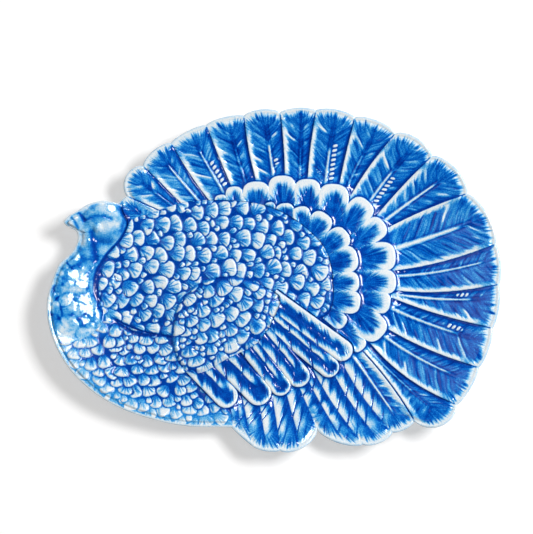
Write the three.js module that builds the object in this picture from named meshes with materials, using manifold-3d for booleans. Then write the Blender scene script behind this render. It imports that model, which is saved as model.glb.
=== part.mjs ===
// Turkey platter in relief earthenware, made as the potter makes it: a pressed dish with a scalloped, flared rim,
// a foot ring luted under it, and moulded relief sprigs seated on its face with a thin joint of slip.
// Millimetres, +Z up, +X towards the tail. The origin is on the table under the middle of the platter.

import * as THREE from 'three';
import { mergeVertices } from 'three/addons/utils/BufferGeometryUtils.js';
import Module from 'manifold-3d';

const wasm = await Module();
wasm.setup();

// Overall size, from the edge of the breast to the tail along X, and across the tail along Y.
const LENGTH = 450;
const WIDTH = 343;

// Dish and foot ring. The flat floor is a share of the rim's radius in each direction, and the foot stands at the
// floor's edge.
const WALL = 6;
const RIM_RISE = 19;
const FLOOR_SHARE = 0.6;
const FLARE = 1.6;
const LIP_WIDTH = 3.5;
const LIP_BEAD = 1.2;
const FOOT_HEIGHT = 4;
const FOOT_WIDTH = 9;
const FOOT_TAPER = 1.4;

// Joints: the slip under each sprig, and the seam between two neighbours.
const SLIP = 0.3;
const SEAM = 0.4;

// Relief heights above the face of the dish.
const GROOVE = 1.5;
const FEATHER_EDGE = 3.6;
const FEATHER_WEB = 2.4;
const QUILL = 3.3;
const OUTER_COVERT = 4.6;
const INNER_COVERT = 4.6;
const NECK_LIFT = 2.6;
const WING_LIFT = 6.4;
const WING_FEATHER = 6;
const SCALE_CROWN = 1.8;
const SCALE_LEAN = 0.35;
const EDGE_TAPER = 6;

// Scaled areas: the height at their edge and inside, the pitch of the scales and the way that they lie.
const BODY = { foot: GROOVE, lift: 3.2, pitch: 15, turn: 0 };
const BREAST = { foot: GROOVE, lift: 3, pitch: 12, turn: -Math.PI / 3 };
const SHOULDER = { foot: 3.4, lift: WING_LIFT, pitch: 15, turn: -Math.PI / 5 };
const NECK = { foot: GROOVE, pitch: 11, turn: 0 };

// How the relief fades, as shares of its height: at a feather's root and tip, and at a rounded feather's edges.
const ROOT_RELIEF = 0.55;
const TIP_RELIEF = 0.6;
const TIP_SLOPE = 1.8;
const BLADE_EDGE_DROP = 0.6;
const BLADE_HOLLOW = 0.4;
const HOLLOW_WIDTH = 0.6;
const SCALLOP_FULLNESS = 0.7;

// Colours of the glaze where it pools, where it runs thin, and of the bare foot.
const COBALT = 0x1450b4;
const PALE_BLUE = 0x9cbfe6;
const WHITE_GLAZE = 0xe9ecef;
const BARE_CLAY = 0xd8cdb8;

// The plan is drawn in millimetres at its photographed size, then fitted to LENGTH and WIDTH.
// Each border runs between two feathers, clockwise from the head. It gives the notch where the border meets the
// rim, the root where it goes in under the coverts, and how far the border bows to its left. Of the feather that
// follows it, it gives how far the tip stands out past its two notches, which edges are raised over its
// neighbours, and where the quill lies across it.
const TAIL_BORDERS = [
  { notch: [-155.5, 75], root: [-143, 55], bow: 0, tip: 0.8, raised: 'far', quill: 0.5 },
  { notch: [-147, 82.5], root: [-114, 68.5], bow: 0, tip: 10, raised: 'near', quill: 0.6 },
  { notch: [-131, 112.5], root: [-92, 74.5], bow: 0, tip: 5, raised: 'near', quill: 0.6 },
  { notch: [-103, 135.5], root: [-68, 83.5], bow: 1.8, tip: 3, raised: 'near', quill: 0.6 },
  { notch: [-68, 153.5], root: [-43, 93.5], bow: 0.7, tip: 3.4, raised: 'near', quill: 0.6 },
  { notch: [-30, 163], root: [-17, 98.5], bow: 2.5, tip: 4.7, raised: 'near', quill: 0.6 },
  { notch: [6, 166.5], root: [10, 104.5], bow: -1, tip: 3.6, raised: 'near', quill: 0.65 },
  { notch: [42, 168.5], root: [34, 100.5], bow: 1.7, tip: 4.3, raised: 'near', quill: 0.55 },
  { notch: [81, 161.5], root: [66, 96.5], bow: 1.2, tip: 5, raised: 'near', quill: 0.6 },
  { notch: [122, 145.5], root: [77, 82.5], bow: 3.2, tip: 7, raised: 'near', quill: 0.57 },
  { notch: [158, 122.5], root: [106, 67.5], bow: 1.7, tip: 8.7, raised: 'near', quill: 0.55 },
  { notch: [193, 84.5], root: [113, 50.5], bow: 2.8, tip: 7.5, raised: 'both', quill: 0.5 },
  { notch: [221, 33.5], root: [123, 9.5], bow: -3.9, tip: 3.1, raised: 'far', quill: 0.3 },
  { notch: [224, -6.5], root: [123, -10.5], bow: -5, tip: 3.3, raised: 'far', quill: 0.3 },
  { notch: [217, -50.5], root: [120, -19.5], bow: -2.4, tip: 3.3, raised: 'far', quill: 0.32 },
  { notch: [203, -89.5], root: [111, -47.5], bow: -4, tip: 3.2, raised: 'far', quill: 0.33 },
  { notch: [181, -126.5], root: [97, -62.5], bow: -8, tip: 13.8, raised: 'far', quill: 0.42 },
  { notch: [139, -142.5], root: [85, -70.5], bow: 4, tip: 3.1, raised: 'near', quill: 0.46 },
];
const FLANK_BORDERS = [
  TAIL_BORDERS.at(-1),
  { notch: [117, -153.5], root: [69, -83.5], bow: -4.1, tip: 5, raised: 'none', quill: 0.46 },
  { notch: [88, -165.5], root: [44, -99.5], bow: -2.5, tip: 6.3, raised: 'none', quill: 0.46 },
  { notch: [43, -150.5], root: [25, -109.5], bow: 0, tip: 8.9, raised: 'none', quill: 0.5 },
  { notch: [6, -171.5], root: [-2, -117.5], bow: 0, tip: 3.1, raised: 'none', quill: 0.48 },
  { notch: [-22, -166.5], root: [-31, -124.5], bow: 0, tip: 0.5, raised: 'none', quill: 0.5 },
  { notch: [-42, -148.5], root: [-43, -128], bow: 0, tip: 0 },
];
// How far the feathers run in under the coverts, past their drawn roots.
const ROOT_TUCK = 10;

// The smooth rim round the breast, neck, beak and crown, from the last flank feather back to the tail.
const BREAST_RIM = [
  [-42, -148.5], [-89, -147], [-124, -139.5], [-154, -128.5], [-179, -113.5], [-202, -91.5], [-217, -66.5],
  [-224.5, -41], [-225, -22], [-220, -2.5], [-213, 14.5], [-202, 25], [-195.5, 38], [-197, 46.5], [-206, 51.5],
  [-209, 55.5], [-204.5, 61], [-195, 67], [-184, 74], [-171, 77.5], [-161, 76.5], [-155.5, 75],
];

// Outlines of the scaled and modelled areas. Where they pass the rim, they are trimmed to its lip.
const BODY_OUTLINE = [
  [-143, 58], [-122, 66], [-90, 77], [-45, 79], [-5, 73], [29, 54], [52, 29], [59, -3], [55, -33],
  [16, -50], [-44, -60], [-102, -58], [-139, -50], [-163, -36], [-174, -10], [-166, 20], [-148, 43],
];
const BREAST_OUTLINE = [
  [-232, -52], [-199, -55], [-176, -45], [-162, -42], [-137, -55], [-104, -58], [-80, -85], [-60, -112],
  [-44.5, -131], [-43, -152], [-70, -168], [-140, -160], [-205, -118], [-240, -80],
];
const NECK_OUTLINE = [
  [-154, 80], [-151, 67], [-146, 56], [-152, 41], [-168, 22], [-177, 5], [-178, -15], [-170, -34],
  [-174, -48], [-199, -64], [-224, -62], [-236, -30], [-236, 20], [-224, 66], [-184, 86],
];
const SHOULDER_OUTLINE = [
  [-102, -55], [-95, -24], [-69, -2], [-34, 1], [-2, -12], [6, -19], [2, -34], [-16, -63], [-44, -78],
  [-76, -94], [-92, -88], [-101, -68],
];

// Rounded feathers: where each one starts, its tip, and half its width.
const OUTER_COVERTS = [
  { root: [-52, 74], tip: [-54, 85.5], half: 7 },
  { root: [-39, 70], tip: [-40, 94], half: 9.5 },
  { root: [-17, 66], tip: [-18, 99], half: 14.5 },
  { root: [9, 63], tip: [8, 105], half: 14.5 },
  { root: [35, 58], tip: [33, 101.5], half: 14 },
  { root: [57, 46], tip: [61, 96.5], half: 16 },
  { root: [66, 46], tip: [95, 79], half: 14 },
  { root: [76, 33], tip: [111, 57], half: 12.5 },
  { root: [76, 20], tip: [122.5, 23.5], half: 15.5 },
  { root: [76, -4], tip: [123, -2.5], half: 13 },
  { root: [76, -18], tip: [117, -25], half: 12 },
  { root: [76, -26], tip: [108, -58], half: 15 },
  { root: [65, -44], tip: [89, -71], half: 9 },
];
const INNER_COVERTS = [
  { root: [-3, 68], tip: [-5, 78], half: 6 },
  { root: [12, 62], tip: [10, 77], half: 10 },
  { root: [31, 50], tip: [25, 73.5], half: 10 },
  { root: [36, 42], tip: [53, 66], half: 12.5 },
  { root: [50, 30], tip: [74, 47], half: 12.5 },
  { root: [52, 15], tip: [84.5, 22.5], half: 14.5 },
  { root: [54, -5], tip: [86, -2.5], half: 11.5 },
  { root: [54, -20], tip: [87, -24.5], half: 12.5 },
  { root: [52, -31], tip: [71, -47], half: 9 },
];
const WING_FEATHERS = [
  { root: [0, -22], tip: [77, -78], half: 11.5 },
  { root: [-5, -39], tip: [63, -95], half: 11 },
  { root: [-12, -52], tip: [32, -106], half: 12 },
  { root: [-27, -64], tip: [13, -115], half: 11 },
  { root: [-52, -77], tip: [-6, -123], half: 13.5 },
  { root: [-76, -88], tip: [-39, -126], half: 12.5 },
];

// Rounded forms of the head and neck: centre, radius and height of each.
const HEAD_FORMS = [
  { centre: [-167, 58], radius: 21, height: 8 },
  { centre: [-175, 50], radius: 6, height: 9 },
  { centre: [-184, 46], radius: 8, height: 5.5 },
  { centre: [-182, 35], radius: 8, height: 5.5 },
  { centre: [-186, 24], radius: 9, height: 5 },
  { centre: [-198, 14], radius: 13, height: 5 },
  { centre: [-199, -6], radius: 18, height: 5.5 },
  { centre: [-196, -34], radius: 24, height: 5.5 },
  { centre: [-201, 55], radius: 11, height: 5 },
];

// Section of the lip, from its inner edge over the bead and down to the underside: how far in from the edge as a
// share of LIP_WIDTH, how high as a share of LIP_BEAD, and how far down as a share of WALL.
const LIP_SECTION = [
  { inward: 1, bead: 0, drop: 0 },
  { inward: 0.7, bead: 1, drop: 0 },
  { inward: 0.2, bead: 0.7, drop: 0 },
  { inward: 0, bead: 0, drop: 0.35 },
  { inward: 0.5, bead: 0, drop: 1 },
];

// Section of a tail or flank feather, in shares of its width: its edges, raised or sunk, and its quill.
const EDGE_CREST = 0.05;
const EDGE_FOOT = 0.2;
const QUILL_HALF = 0.06;

function featherSection({ raised, quill }) {
  const near = raised === 'near' || raised === 'both';
  const far = raised === 'far' || raised === 'both';
  return [
    { across: 0, relief: GROOVE },
    ...(near ? [{ across: EDGE_CREST, relief: FEATHER_EDGE }] : []),
    { across: EDGE_FOOT, relief: FEATHER_WEB },
    { across: quill - QUILL_HALF, relief: FEATHER_WEB },
    { across: quill, relief: QUILL },
    { across: quill + QUILL_HALF, relief: FEATHER_WEB },
    { across: 1 - EDGE_FOOT, relief: FEATHER_WEB },
    ...(far ? [{ across: 1 - EDGE_CREST, relief: FEATHER_EDGE }] : []),
  ];
}

// A rounded feather: its width and height at the root as shares, the angles of the stations round its tip, and the
// places across it from edge to edge. Its rim stands up round a hollow middle.
const BLADE_ROOT_WIDTH = 0.9;
const BLADE_ROOT_CROWN = 0.6;
const TIP_ANGLES = [90, 55, 28, 10];
const BLADE_ACROSS = [1, 0.7, 0, -0.7, -1];

// Steps of the faceted surfaces.
const FLARE_STEPS = [0, 0.2, 0.45, 0.75];
const SCALLOP_STEPS = 4;
const BREAST_STEPS = 36;
const OUTLINE_STEPS = 36;
const FOOT_STEPS = 48;
const FEATHER_ROWS = 5;
const RIM_SMOOTHING = 0.24;

// Rim outline

function border(from, to, bow, share) {
  const side = new THREE.Vector2(from.y - to.y, to.x - from.x).normalize();
  const arch = 4 * share * (1 - share) * bow;
  return from.clone().lerp(to, share).addScaledVector(side, arch);
}

function roundness(share) {
  return (4 * share * (1 - share)) ** SCALLOP_FULLNESS;
}

function scallop(start, next) {
  const from = new THREE.Vector2(...start.notch);
  const to = new THREE.Vector2(...next.notch);
  const outward = new THREE.Vector2(from.y - to.y, to.x - from.x).normalize();
  return Array.from({ length: SCALLOP_STEPS }, (_, step) => {
    const share = step / SCALLOP_STEPS;
    return from.clone().lerp(to, share).addScaledVector(outward, start.tip * roundness(share));
  });
}

function spline(points, steps, closed) {
  const corners = points.map(([x, y]) => new THREE.Vector3(x, y, 0));
  const curve = new THREE.CatmullRomCurve3(corners, closed, 'centripetal');
  return curve.getPoints(steps).slice(0, steps).map((point) => new THREE.Vector2(point.x, point.y));
}

const borders = [...TAIL_BORDERS, ...FLANK_BORDERS.slice(1)];
const scallops = borders.slice(0, -1).flatMap((start, index) => scallop(start, borders[index + 1]));
const drawnRim = [...scallops, ...spline(BREAST_RIM, BREAST_STEPS, false)].reverse();
const drawnBox = new THREE.Box2().setFromPoints(drawnRim);
const drawnCentre = drawnBox.getCenter(new THREE.Vector2());
const drawnSize = drawnBox.getSize(new THREE.Vector2());
const fitToSize = new THREE.Vector2(LENGTH / drawnSize.x, WIDTH / drawnSize.y);

function place(point) {
  return point.clone().sub(drawnCentre).multiply(fitToSize);
}

const rim = drawnRim.map(place);

// Face of the dish: a flat floor that flares up to the rim

function rimRadius(angle) {
  let sum = 0;
  let total = 0;
  rim.forEach((point, index) => {
    const turn = point.angle() - angle;
    const apart = Math.atan2(Math.sin(turn), Math.cos(turn));
    const span = point.distanceTo(rim[(index + 1) % rim.length]);
    const weight = span * Math.exp(-0.5 * (apart / RIM_SMOOTHING) ** 2);
    sum += weight * point.length();
    total += weight;
  });
  return sum / total;
}

function faceHeight(x, y) {
  const share = Math.hypot(x, y) / rimRadius(Math.atan2(y, x));
  const climb = Math.max(0, share - FLOOR_SHARE) / (1 - FLOOR_SHARE);
  return FOOT_HEIGHT + WALL + RIM_RISE * climb ** FLARE;
}

// Solids

function closedSolid(points, faces) {
  const geometry = new THREE.BufferGeometry().setFromPoints(points);
  geometry.setIndex(faces);
  return solidOf(geometry);
}

function solidOf(geometry) {
  geometry.deleteAttribute('normal');
  geometry.deleteAttribute('uv');
  const merged = mergeVertices(geometry);
  const vertProperties = new Float32Array(merged.getAttribute('position').array);
  const triVerts = new Uint32Array(merged.getIndex().array);
  return new wasm.Manifold(new wasm.Mesh({ numProp: 3, vertProperties, triVerts }));
}

function geometryOf(solid) {
  const { vertProperties, triVerts } = solid.getMesh();
  const geometry = new THREE.BufferGeometry();
  geometry.setAttribute('position', new THREE.BufferAttribute(vertProperties, 3));
  geometry.setIndex(new THREE.BufferAttribute(triVerts, 1));
  geometry.computeVertexNormals();
  return geometry;
}

// Rings run from the middle of the top face, over the edge, to the middle of the underside.
function turnedSolid(rings, closedRound) {
  const around = rings[0].length;
  const faces = [];
  const last = closedRound ? rings.length : rings.length - 1;
  for (let ring = 0; ring < last; ring += 1) {
    const inner = ring * around;
    const outer = ((ring + 1) % rings.length) * around;
    for (let step = 0; step < around; step += 1) {
      const next = (step + 1) % around;
      faces.push(inner + step, outer + step, outer + next, inner + step, outer + next, inner + next);
    }
  }
  const points = rings.flat();
  if (!closedRound) {
    const top = points.push(middleOf(rings[0])) - 1;
    const under = points.push(middleOf(rings.at(-1))) - 1;
    const base = (rings.length - 1) * around;
    for (let step = 0; step < around; step += 1) {
      const next = (step + 1) % around;
      faces.push(top, step, next, under, base + next, base + step);
    }
  }
  return closedSolid(points, faces);
}

function middleOf(ring) {
  return new THREE.Vector3(0, 0, ring[0].z);
}

// Prism over a closed outline, tall enough to cut through every relief.
function prism(outline) {
  const reach = FOOT_HEIGHT + WALL + 2 * RIM_RISE + 2 * WING_LIFT;
  const geometry = new THREE.ExtrudeGeometry(new THREE.Shape(outline), { depth: 2 * reach, bevelEnabled: false });
  return solidOf(geometry.translate(0, 0, -reach));
}

function grown(outline, distance) {
  const turn = THREE.ShapeUtils.area(outline) > 0 ? 1 : -1;
  return outline.map((point, index) => {
    const before = outline.at(index - 1);
    const after = outline[(index + 1) % outline.length];
    const outward = new THREE.Vector2(after.y - before.y, before.x - after.x).normalize();
    return point.clone().addScaledVector(outward, turn * distance);
  });
}

function inset(distance) {
  return rim.map((point) => point.clone().setLength(point.length() - distance));
}

// A relief sheet from rows of points on its top face, sunk half a wall into the dish so that the dish can cut it.
function reliefSheet(rows) {
  const across = rows[0].length;
  const top = rows.flat();
  const sunk = top.map((point) => new THREE.Vector3(point.x, point.y, faceHeight(point.x, point.y) - WALL / 2));
  const under = top.length;
  const faces = [];
  const quad = (a, b, c, d) => faces.push(a, b, c, a, c, d);
  for (let row = 0; row < rows.length - 1; row += 1) {
    const first = row * across;
    const end = first + across - 1;
    for (let step = first; step < end; step += 1) {
      quad(step, step + across, step + across + 1, step + 1);
      quad(under + step, under + step + 1, under + step + across + 1, under + step + across);
    }
    quad(first + across, first, under + first, under + first + across);
    quad(end, end + across, under + end + across, under + end);
  }
  const lastRow = (rows.length - 1) * across;
  for (let step = 0; step < across - 1; step += 1) {
    quad(step, step + 1, under + step + 1, under + step);
    quad(lastRow + step + 1, lastRow + step, under + lastRow + step, under + lastRow + step + 1);
  }
  return closedSolid([...top, ...sunk], faces);
}

function onFace(point, relief) {
  return new THREE.Vector3(point.x, point.y, faceHeight(point.x, point.y) + relief);
}

// Dish and foot ring

function dishSolid() {
  const lipInner = inset(LIP_WIDTH);
  const shares = FLARE_STEPS.map((step) => FLOOR_SHARE + step * (1 - FLOOR_SHARE));
  const flareRing = (share, drop) => lipInner.map((point) => onFace(point.clone().multiplyScalar(share), -drop));
  const faceRings = shares.map((share) => flareRing(share, 0));
  const lipRings = LIP_SECTION.map(({ inward, bead, drop }) =>
    inset(inward * LIP_WIDTH).map((point) => onFace(point, bead * LIP_BEAD - drop * WALL)));
  const underRings = shares.toReversed().map((share) => flareRing(share, WALL));
  return turnedSolid([...faceRings, ...lipRings, ...underRings], false);
}

function footRingSolid() {
  const edge = (inward, height) => Array.from({ length: FOOT_STEPS }, (_, step) => {
    const angle = (step / FOOT_STEPS) * 2 * Math.PI;
    const reach = FLOOR_SHARE * rimRadius(angle) - inward;
    return new THREE.Vector3(reach * Math.cos(angle), reach * Math.sin(angle), height);
  });
  const seat = FOOT_HEIGHT - SLIP;
  return turnedSolid([
    edge(FOOT_WIDTH, seat),
    edge(0, seat),
    edge(FOOT_TAPER, 0),
    edge(FOOT_WIDTH - FOOT_TAPER, 0),
  ], true);
}

// Feathers of the tail and flank: one sheet, ridged by each feather's raised edge and quill

function featherRelief(share) {
  return Math.min(1, ROOT_RELIEF + share, TIP_RELIEF + TIP_SLOPE * (1 - share));
}

function featherFan(list) {
  const ends = list.map(({ notch, root, bow }) => {
    const from = new THREE.Vector2(...root);
    const to = new THREE.Vector2(...notch);
    const tuck = from.clone().sub(to).setLength(ROOT_TUCK);
    return { from: from.add(tuck), to, bow };
  });
  const columns = list.slice(0, -1).flatMap((feather, index) => {
    const pair = { near: ends[index], far: ends[index + 1], tip: feather.tip };
    return featherSection(feather).map((station) => ({ ...pair, ...station }));
  });
  columns.push({ near: ends.at(-1), far: ends.at(-1), tip: 0, across: 0, relief: GROOVE });
  const rows = Array.from({ length: FEATHER_ROWS }, (_, row) => {
    const share = row / (FEATHER_ROWS - 1);
    return columns.map(({ near, far, across, relief, tip }) => {
      const start = border(near.from, near.to, near.bow, share);
      const end = border(far.from, far.to, far.bow, share);
      const along = near.to.clone().sub(near.from).normalize();
      const swell = tip * roundness(across) * share ** 3;
      const spot = place(start.lerp(end, across).addScaledVector(along, swell));
      return onFace(spot, GROOVE + (relief - GROOVE) * featherRelief(share));
    });
  });
  const near = rows.map((row) => row[0]);
  const far = rows.map((row) => row.at(-1));
  const edge = [...near, ...rows.at(-1).slice(1, -1), ...far.toReversed(), ...rows[0].slice(1, -1).toReversed()];
  const outline = edge.map((point) => new THREE.Vector2(point.x, point.y));
  return { solid: reliefSheet(rows.toReversed()), outlines: [outline] };
}

// Rounded feathers: a blade with a round tip and a raised rim

function roundedFeather({ root, tip, half }, lift) {
  const from = new THREE.Vector2(...root);
  const to = new THREE.Vector2(...tip);
  const length = from.distanceTo(to);
  const side = new THREE.Vector2(from.y - to.y, to.x - from.x).normalize();
  const round = TIP_ANGLES.map((degrees) => {
    const angle = THREE.MathUtils.degToRad(degrees);
    return { along: 1 - (half / length) * (1 - Math.cos(angle)), width: Math.sin(angle) };
  });
  const stations = [{ along: 0, width: BLADE_ROOT_WIDTH }, ...round];
  const rows = stations.map(({ along, width }) =>
    BLADE_ACROSS.map((across) => {
      const spot = from.clone().lerp(to, along).addScaledVector(side, -across * width * half);
      const toRim = Math.max(Math.abs(across), 1 - width);
      const crown = THREE.MathUtils.lerp(BLADE_ROOT_CROWN, 1, along);
      const shape = 1 - BLADE_EDGE_DROP * toRim ** 8 - BLADE_HOLLOW * Math.max(0, 1 - toRim / HOLLOW_WIDTH);
      return onFace(place(spot), GROOVE + (lift - GROOVE) * crown * shape);
    }));
  const left = rows.map((row) => row[0]);
  const right = rows.map((row) => row.at(-1));
  const outline = [...left, ...right.toReversed()].map((point) => new THREE.Vector2(point.x, point.y));
  return { solid: reliefSheet(rows), outline };
}

function featherRow(list, lift) {
  const feathers = list.map((feather) => roundedFeather(feather, lift));
  const solid = feathers.map((feather) => feather.solid).reduce((joined, next) => joined.add(next));
  return { solid, outlines: feathers.map((feather) => feather.outline) };
}

// Scaled and modelled areas: a quilted height field, trimmed to its outline

function distanceInside(outline, spot) {
  return Math.min(...outline.map((start, index) => {
    const end = outline[(index + 1) % outline.length];
    const along = end.clone().sub(start);
    const share = THREE.MathUtils.clamp(spot.clone().sub(start).dot(along) / along.lengthSq(), 0, 1);
    return spot.distanceTo(along.multiplyScalar(share).add(start));
  }));
}

function reliefArea(drawn, { foot, pitch, turn }, reliefAt) {
  const outline = spline(drawn, OUTLINE_STEPS, true).map(place);
  const box = new THREE.Box2().setFromPoints(outline);
  const middle = box.getCenter(new THREE.Vector2());
  const reach = box.getSize(new THREE.Vector2()).length() / 2 + pitch;
  const count = 2 * Math.ceil(reach / pitch);
  const rows = Array.from({ length: 2 * count + 1 }, (_, row) =>
    Array.from({ length: 2 * count + 1 }, (_unused, step) => {
      const crest = step % 2 === 0 && (row + step / 2) % 2 === 0;
      const along = (row - count + (crest ? SCALE_LEAN : 0)) * (pitch / 2);
      const across = (step - count) * (pitch / 2);
      const spot = new THREE.Vector2(along, across).rotateAround(new THREE.Vector2(), turn).add(middle);
      const taper = Math.min(1, distanceInside(outline, spot) / EDGE_TAPER);
      return onFace(spot, THREE.MathUtils.lerp(foot, reliefAt(spot, crest), taper));
    }));
  return { solid: reliefSheet(rows).intersect(prism(outline)), outlines: [outline] };
}

function scaledArea(drawn, area) {
  return reliefArea(drawn, area, (spot, crest) => area.lift + (crest ? SCALE_CROWN : 0));
}

function neckRelief(spot) {
  const heights = HEAD_FORMS.map(({ centre, radius, height }) => {
    const away = spot.distanceTo(place(new THREE.Vector2(...centre))) / radius;
    return NECK_LIFT + (height - NECK_LIFT) * Math.sqrt(Math.max(0, 1 - away ** 2));
  });
  return Math.max(...heights);
}

// Assembly: sprigs in the order in which they overlap, each trimmed by those above it, the dish and the lip

const sprigs = [
  { name: 'tail_fan', colour: COBALT, ...featherFan(TAIL_BORDERS) },
  { name: 'flank_feathers', colour: PALE_BLUE, ...featherFan(FLANK_BORDERS) },
  { name: 'outer_coverts', colour: WHITE_GLAZE, ...featherRow(OUTER_COVERTS, OUTER_COVERT) },
  { name: 'inner_coverts', colour: WHITE_GLAZE, ...featherRow(INNER_COVERTS, INNER_COVERT) },
  { name: 'breast_plumage', colour: PALE_BLUE, ...scaledArea(BREAST_OUTLINE, BREAST) },
  { name: 'body_plumage', colour: COBALT, ...scaledArea(BODY_OUTLINE, BODY) },
  { name: 'head_and_neck', colour: PALE_BLUE, ...reliefArea(NECK_OUTLINE, NECK, neckRelief) },
  { name: 'wing_feathers', colour: WHITE_GLAZE, ...featherRow(WING_FEATHERS, WING_FEATHER) },
  { name: 'wing_shoulder', colour: COBALT, ...scaledArea(SHOULDER_OUTLINE, SHOULDER) },
];

function seated(sprig, index, dish, well) {
  const above = sprigs.slice(index + 1).flatMap((upper) => upper.outlines);
  const cutters = above.map((outline) => prism(grown(outline, SEAM)));
  const trimmed = sprig.solid.intersect(well).subtract(dish.translate([0, 0, SLIP]));
  const cut = cutters.reduce((rest, cutter) => rest.subtract(cutter), trimmed);
  return cut.decompose().reduce((largest, body) => (body.volume() > largest.volume() ? body : largest));
}

function node(name, solid, colour, roughness) {
  const material = new THREE.MeshStandardMaterial({ color: colour, roughness, metalness: 0 });
  const mesh = new THREE.Mesh(geometryOf(solid), material);
  mesh.name = name;
  return mesh;
}

const GLAZED = 0.15;
const UNGLAZED = 0.85;
const platter = new THREE.Group();
const dish = dishSolid();
const well = prism(inset(LIP_WIDTH + SEAM));
platter.add(node('dish', dish, WHITE_GLAZE, GLAZED));
platter.add(node('foot_ring', footRingSolid(), BARE_CLAY, UNGLAZED));
sprigs.forEach((sprig, index) => {
  platter.add(node(sprig.name, seated(sprig, index, dish, well), sprig.colour, GLAZED));
});

export default platter;
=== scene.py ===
# %% [markdown]
# # A turkey platter in relief earthenware
# The platter is one pressed dish with a scalloped, flared rim. On its face lies a turkey in low relief,
# seen from the side, with its tail fanned round the top and right. A cobalt glaze runs off the raised
# edges, which fire white, and pools dark in the hollows. So one thing drives both the shape and the colour:
# how high the clay stands.
#
# This lesson sculpts the whole face as one fine sheet, cuts the sheet into the sprigs that the potter lays
# on the dish, gives each sprig its thickness, and then glazes them all.

# %% Load the frame
import math
import bpy
import numpy as np
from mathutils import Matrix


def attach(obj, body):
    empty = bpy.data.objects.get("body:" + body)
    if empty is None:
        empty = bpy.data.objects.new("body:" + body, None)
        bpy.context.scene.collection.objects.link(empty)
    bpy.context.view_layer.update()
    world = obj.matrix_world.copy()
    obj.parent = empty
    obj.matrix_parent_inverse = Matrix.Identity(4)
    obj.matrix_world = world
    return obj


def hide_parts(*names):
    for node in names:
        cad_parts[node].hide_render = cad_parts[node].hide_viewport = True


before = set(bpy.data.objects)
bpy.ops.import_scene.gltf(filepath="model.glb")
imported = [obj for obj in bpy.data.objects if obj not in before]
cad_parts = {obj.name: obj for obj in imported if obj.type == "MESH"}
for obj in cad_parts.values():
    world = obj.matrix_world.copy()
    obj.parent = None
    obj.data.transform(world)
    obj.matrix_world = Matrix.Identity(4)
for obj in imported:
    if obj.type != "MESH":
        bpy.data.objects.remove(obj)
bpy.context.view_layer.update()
print("solids in the frame:", sorted(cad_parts))

# %% [markdown]
# ## The plan
# Sizes are in millimetres, as on the drawing, and become metres when a mesh is made. Each border runs
# between two feathers, clockwise from the head. It has the notch where it meets the rim, the root where it
# goes in under the coverts, how far it bows to its left, and how far the tip of the next feather stands out
# past its two notches. Two feathers share each border, so that they always meet.

# %% Sizes of the dish and its plan
MM = 0.001
LENGTH, WIDTH = 450.0, 343.0
WALL = 6.0
RIM_RISE = 19.0
FLOOR_SHARE = 0.6
FLARE = 1.6
FOOT_HEIGHT = 4.0
FOOT_WIDTH = 9.0
SLIP = 0.3
GROOVE = 1.5
RIM_SMOOTHING = 0.24
SCALLOP_FULLNESS = 0.7

# notch x, notch y, root x, root y, bow, tip
TAIL_BORDERS = [
    (-155.5, 75, -143, 55, 0, 0.8), (-147, 82.5, -114, 68.5, 0, 10), (-131, 112.5, -92, 74.5, 0, 5),
    (-103, 135.5, -68, 83.5, 1.8, 3), (-68, 153.5, -43, 93.5, 0.7, 3.4), (-30, 163, -17, 98.5, 2.5, 4.7),
    (6, 166.5, 10, 104.5, -1, 3.6), (42, 168.5, 34, 100.5, 1.7, 4.3), (81, 161.5, 66, 96.5, 1.2, 5),
    (122, 145.5, 77, 82.5, 3.2, 7), (158, 122.5, 106, 67.5, 1.7, 8.7), (193, 84.5, 113, 50.5, 2.8, 7.5),
    (221, 33.5, 123, 9.5, -3.9, 3.1), (224, -6.5, 123, -10.5, -5, 3.3), (217, -50.5, 120, -19.5, -2.4, 3.3),
    (203, -89.5, 111, -47.5, -4, 3.2), (181, -126.5, 97, -62.5, -8, 13.8), (139, -142.5, 85, -70.5, 4, 3.1),
]
FLANK_BORDERS = [
    TAIL_BORDERS[-1], (117, -153.5, 69, -83.5, -4.1, 5), (88, -165.5, 44, -99.5, -2.5, 6.3),
    (43, -150.5, 25, -109.5, 0, 8.9), (6, -171.5, -2, -117.5, 0, 3.1), (-22, -166.5, -31, -124.5, 0, 0.5),
    (-42, -148.5, -43, -128, 0, 0),
]
ROOT_TUCK = 10.0
BREAST_RIM = [
    (-42, -148.5), (-89, -147), (-124, -139.5), (-154, -128.5), (-179, -113.5), (-202, -91.5),
    (-217, -66.5), (-224.5, -41), (-225, -22), (-220, -2.5), (-213, 14.5), (-202, 25), (-195.5, 38),
    (-197, 46.5), (-206, 51.5), (-209, 55.5), (-204.5, 61), (-195, 67), (-184, 74), (-171, 77.5),
    (-161, 76.5), (-155.5, 75),
]
BODY_OUTLINE = [
    (-143, 58), (-122, 66), (-90, 77), (-45, 79), (-5, 73), (29, 54), (52, 29), (59, -3), (55, -33),
    (16, -50), (-44, -60), (-102, -58), (-139, -50), (-163, -36), (-174, -10), (-166, 20), (-148, 43),
]
BREAST_OUTLINE = [
    (-232, -52), (-199, -55), (-176, -45), (-162, -42), (-137, -55), (-104, -58), (-80, -85), (-60, -112),
    (-44.5, -131), (-43, -152), (-70, -168), (-140, -160), (-205, -118), (-240, -80),
]
NECK_OUTLINE = [
    (-154, 80), (-151, 67), (-146, 56), (-152, 41), (-168, 22), (-177, 5), (-178, -15), (-170, -34),
    (-174, -48), (-199, -64), (-224, -62), (-236, -30), (-236, 20), (-224, 66), (-184, 86),
]
SHOULDER_OUTLINE = [
    (-102, -55), (-95, -24), (-69, -2), (-34, 1), (-2, -12), (6, -19), (2, -34), (-16, -63), (-44, -78),
    (-76, -94), (-92, -88), (-101, -68),
]
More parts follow.
